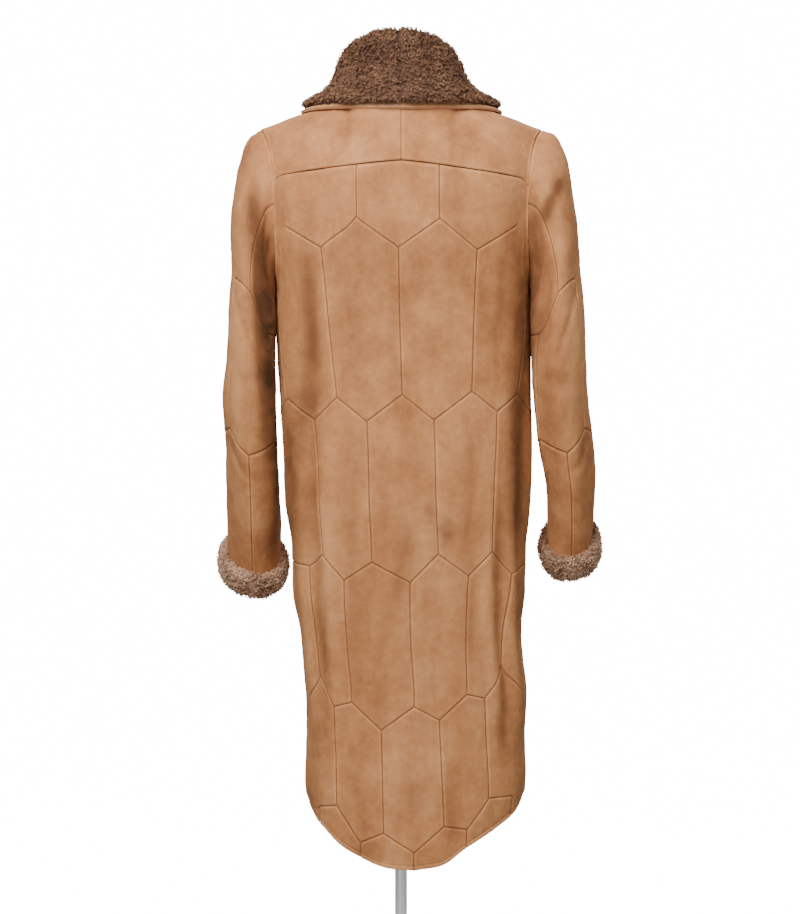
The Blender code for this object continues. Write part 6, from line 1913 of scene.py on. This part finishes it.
class SHEARLING_OT_sleeves(PieceOperator):
    """Make the sleeves and their wool cuffs"""

    bl_idname = "shearling.sleeves"
    bl_label = "Sleeves and cuffs"

    def execute(self, context):
        looks = suede_and_wool()
        for name, side in (("left", 1), ("right", -1)):
            sleeve, obj = make_sleeve(name, side, looks)
            make_cuff(name, sleeve, find_look("cuff fleece"), self.sizes.cuff_locks)
        return {"FINISHED"}


class SHEARLING_OT_collar(PieceOperator):
    """Make the folded collar with its wool outside, and its suede edge"""

    bl_idname = "shearling.collar"
    bl_label = "Collar"

    def execute(self, context):
        looks = [find_look(name) for name in ("matted fleece", "fleece locks", "suede edge")]
        make_collar(*looks, self.sizes.collar_locks)
        return {"FINISHED"}


class SHEARLING_OT_buttons(PieceOperator):
    """Make the five buttons"""

    bl_idname = "shearling.buttons"
    bl_label = "Buttons"

    def execute(self, context):
        for number, height in enumerate(BUTTON_HEIGHTS, 1):
            make_button(number, height, find_look("horn"), find_look("thread"))
        return {"FINISHED"}


class SHEARLING_OT_stand(PieceOperator):
    """Finish the dress form, its neck cap, pole and base"""

    bl_idname = "shearling.stand"
    bl_label = "Form and stand"

    def execute(self, context):
        for node, look in (
            ("form_torso", "knit cover"),
            ("form_neck_cap", "brushed steel"),
            ("stand_pole", "brushed steel"),
            ("stand_base", "brushed steel"),
        ):
            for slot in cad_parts[node].material_slots:
                slot.material = find_look(look)
        return {"FINISHED"}


# The studio, in metres. Lights: place, height on the middle line that they are aimed at, size and watts
LIGHTS = (
    ("key light", (0.6, 1.9, 3.3), 1.35, 1.6, 168.0),
    ("left fill", (1.6, 3.6, 1.1), 0.8, 1.8, 20.0),
    ("right fill", (-2.4, 2.8, 1.3), 1.0, 1.8, 25.0),
    ("low fill", (0.3, 1.6, 0.15), 0.2, 0.5, 5.0),
    ("front key", (-1.0, -2.2, 2.8), 1.2, 1.8, 60.0),
    ("front fill", (1.8, -3.0, 1.2), 0.9, 2.2, 22.0),
)
WORLD_LIGHT = 0.3
FLOOR_RINGS = (0.25, 0.45, 0.7, 1.0, 1.3, 2.0, 4.0, 10.0, 40.0)  # the last one is where the floor sweeps up
FLOOR_DROP = 0.0005  # how far the paper lies below the stand's base
SWEEP = 6.0  # radius of the sweep into the wall
WALL_HEIGHTS = (20.0, 60.0)
GLOW_START, GLOW_WIDTH = 0.3, 1.2  # where the paper's glow starts, and over what distance it grows
CAMERA_X = 0.0015
VIEW_PLANE = 0.03  # the view's height is taken this far behind the form's middle


class SHEARLING_OT_studio(PieceOperator):
    """Make the pale floor and backdrop, the soft lights and the camera"""

    bl_idname = "shearling.studio"
    bl_label = "Studio"

    def execute(self, context):
        add_backdrop(find_look("studio paper"))
        for light in LIGHTS:
            add_light(*light)
        world = bpy.data.worlds.new("studio")
        world.use_nodes = True
        sky = world.node_tree.nodes["Background"].inputs
        sky["Color"].default_value = (1.0, 1.0, 1.0, 1.0)
        sky["Strength"].default_value = WORLD_LIGHT
        context.scene.world = world
        add_camera(self.sizes)
        return {"FINISHED"}


def add_backdrop(look):
    """A round paper floor that sweeps up into a wall, brighter away from the stand."""
    far = FLOOR_RINGS[-1]
    turned = [(radius, 0.0) for radius in FLOOR_RINGS]
    for a in np.linspace(0.1, math.pi / 2, 12):
        turned.append((far + math.sin(a) * SWEEP, SWEEP - math.cos(a) * SWEEP))
    turned += [(far + SWEEP, height) for height in WALL_HEIGHTS]
    sides = 96
    points = [(0.0, 0.0, -FLOOR_DROP)]
    for radius, height in turned:
        for angle in 2 * math.pi * np.arange(sides) / sides:
            points.append((radius * math.cos(angle), radius * math.sin(angle), height - FLOOR_DROP))
    faces = [(0, 1 + i, 1 + (i + 1) % sides) for i in range(sides)]
    for row in range(len(turned) - 1):
        low, high = 1 + row * sides, 1 + (row + 1) * sides
        faces += [(low + i, high + i, high + (i + 1) % sides, low + (i + 1) % sides) for i in range(sides)]
    mesh = bpy.data.meshes.new("backdrop")
    mesh.from_pydata(points, [], faces)
    away = np.linalg.norm(np.array(points)[:, :2], axis=1)
    glow = mesh.attributes.new("glow", "FLOAT", "POINT")
    glow.data.foreach_set("value", smooth((away - GLOW_START) / GLOW_WIDTH).astype(np.float32))
    mesh.materials.append(look)
    mesh.shade_smooth()
    obj = add_object("backdrop", mesh)
    obj.visible_diffuse = False
    obj.visible_glossy = False


def add_light(name, place, aim, size, power):
    """A square soft light that faces a point on the middle line."""
    data = bpy.data.lights.new(name, "AREA")
    data.size, data.energy = size, power
    obj = add_object(name, data)
    obj.location = place
    obj.rotation_euler = (Vector((0.0, 0.0, aim)) - Vector(place)).to_track_quat("-Z", "Y").to_euler()


def add_camera(sizes):
    """A level camera behind the coat."""
    data = bpy.data.cameras.new("camera")
    data.lens = data.sensor_width / 2 / (sizes.view_height / 2 / sizes.camera_distance)
    obj = add_object("camera", data)
    obj.location = (CAMERA_X, VIEW_PLANE + sizes.camera_distance, sizes.camera_height)
    obj.rotation_euler = (math.pi / 2, 0.0, math.pi)
    bpy.context.scene.camera = obj


class SHEARLING_PT_panel(bpy.types.Panel):
    """Lists the coat's pieces"""

    bl_label = "Shearling Coat"
    bl_space_type = "VIEW_3D"
    bl_region_type = "UI"
    bl_category = "Shearling"

    def draw(self, context):
        for operator in OPERATORS:
            self.layout.operator(operator.bl_idname)
        for group in (context.scene.shearling_sizes, context.scene.shearling_colours):
            for name in group.bl_rna.properties.keys():
                if name not in ("rna_type", "name"):
                    self.layout.prop(group, name)


OPERATORS = (
    SHEARLING_OT_stand,
    SHEARLING_OT_back,
    SHEARLING_OT_fronts,
    SHEARLING_OT_sleeves,
    SHEARLING_OT_collar,
    SHEARLING_OT_buttons,
    SHEARLING_OT_studio,
)
CLASSES = (ShearlingColours, ShearlingSizes) + OPERATORS + (SHEARLING_PT_panel,)


def register():
    for each in CLASSES:
        bpy.utils.register_class(each)
    bpy.types.Scene.shearling_colours = bpy.props.PointerProperty(type=ShearlingColours)
    bpy.types.Scene.shearling_sizes = bpy.props.PointerProperty(type=ShearlingSizes)


def unregister():
    del bpy.types.Scene.shearling_colours
    del bpy.types.Scene.shearling_sizes
    for each in reversed(CLASSES):
        bpy.utils.unregister_class(each)


def main():
    register()
    for operator in OPERATORS:
        group, name = operator.bl_idname.split(".")
        getattr(getattr(bpy.ops, group), name)()


if __name__ == "__main__":
    main()
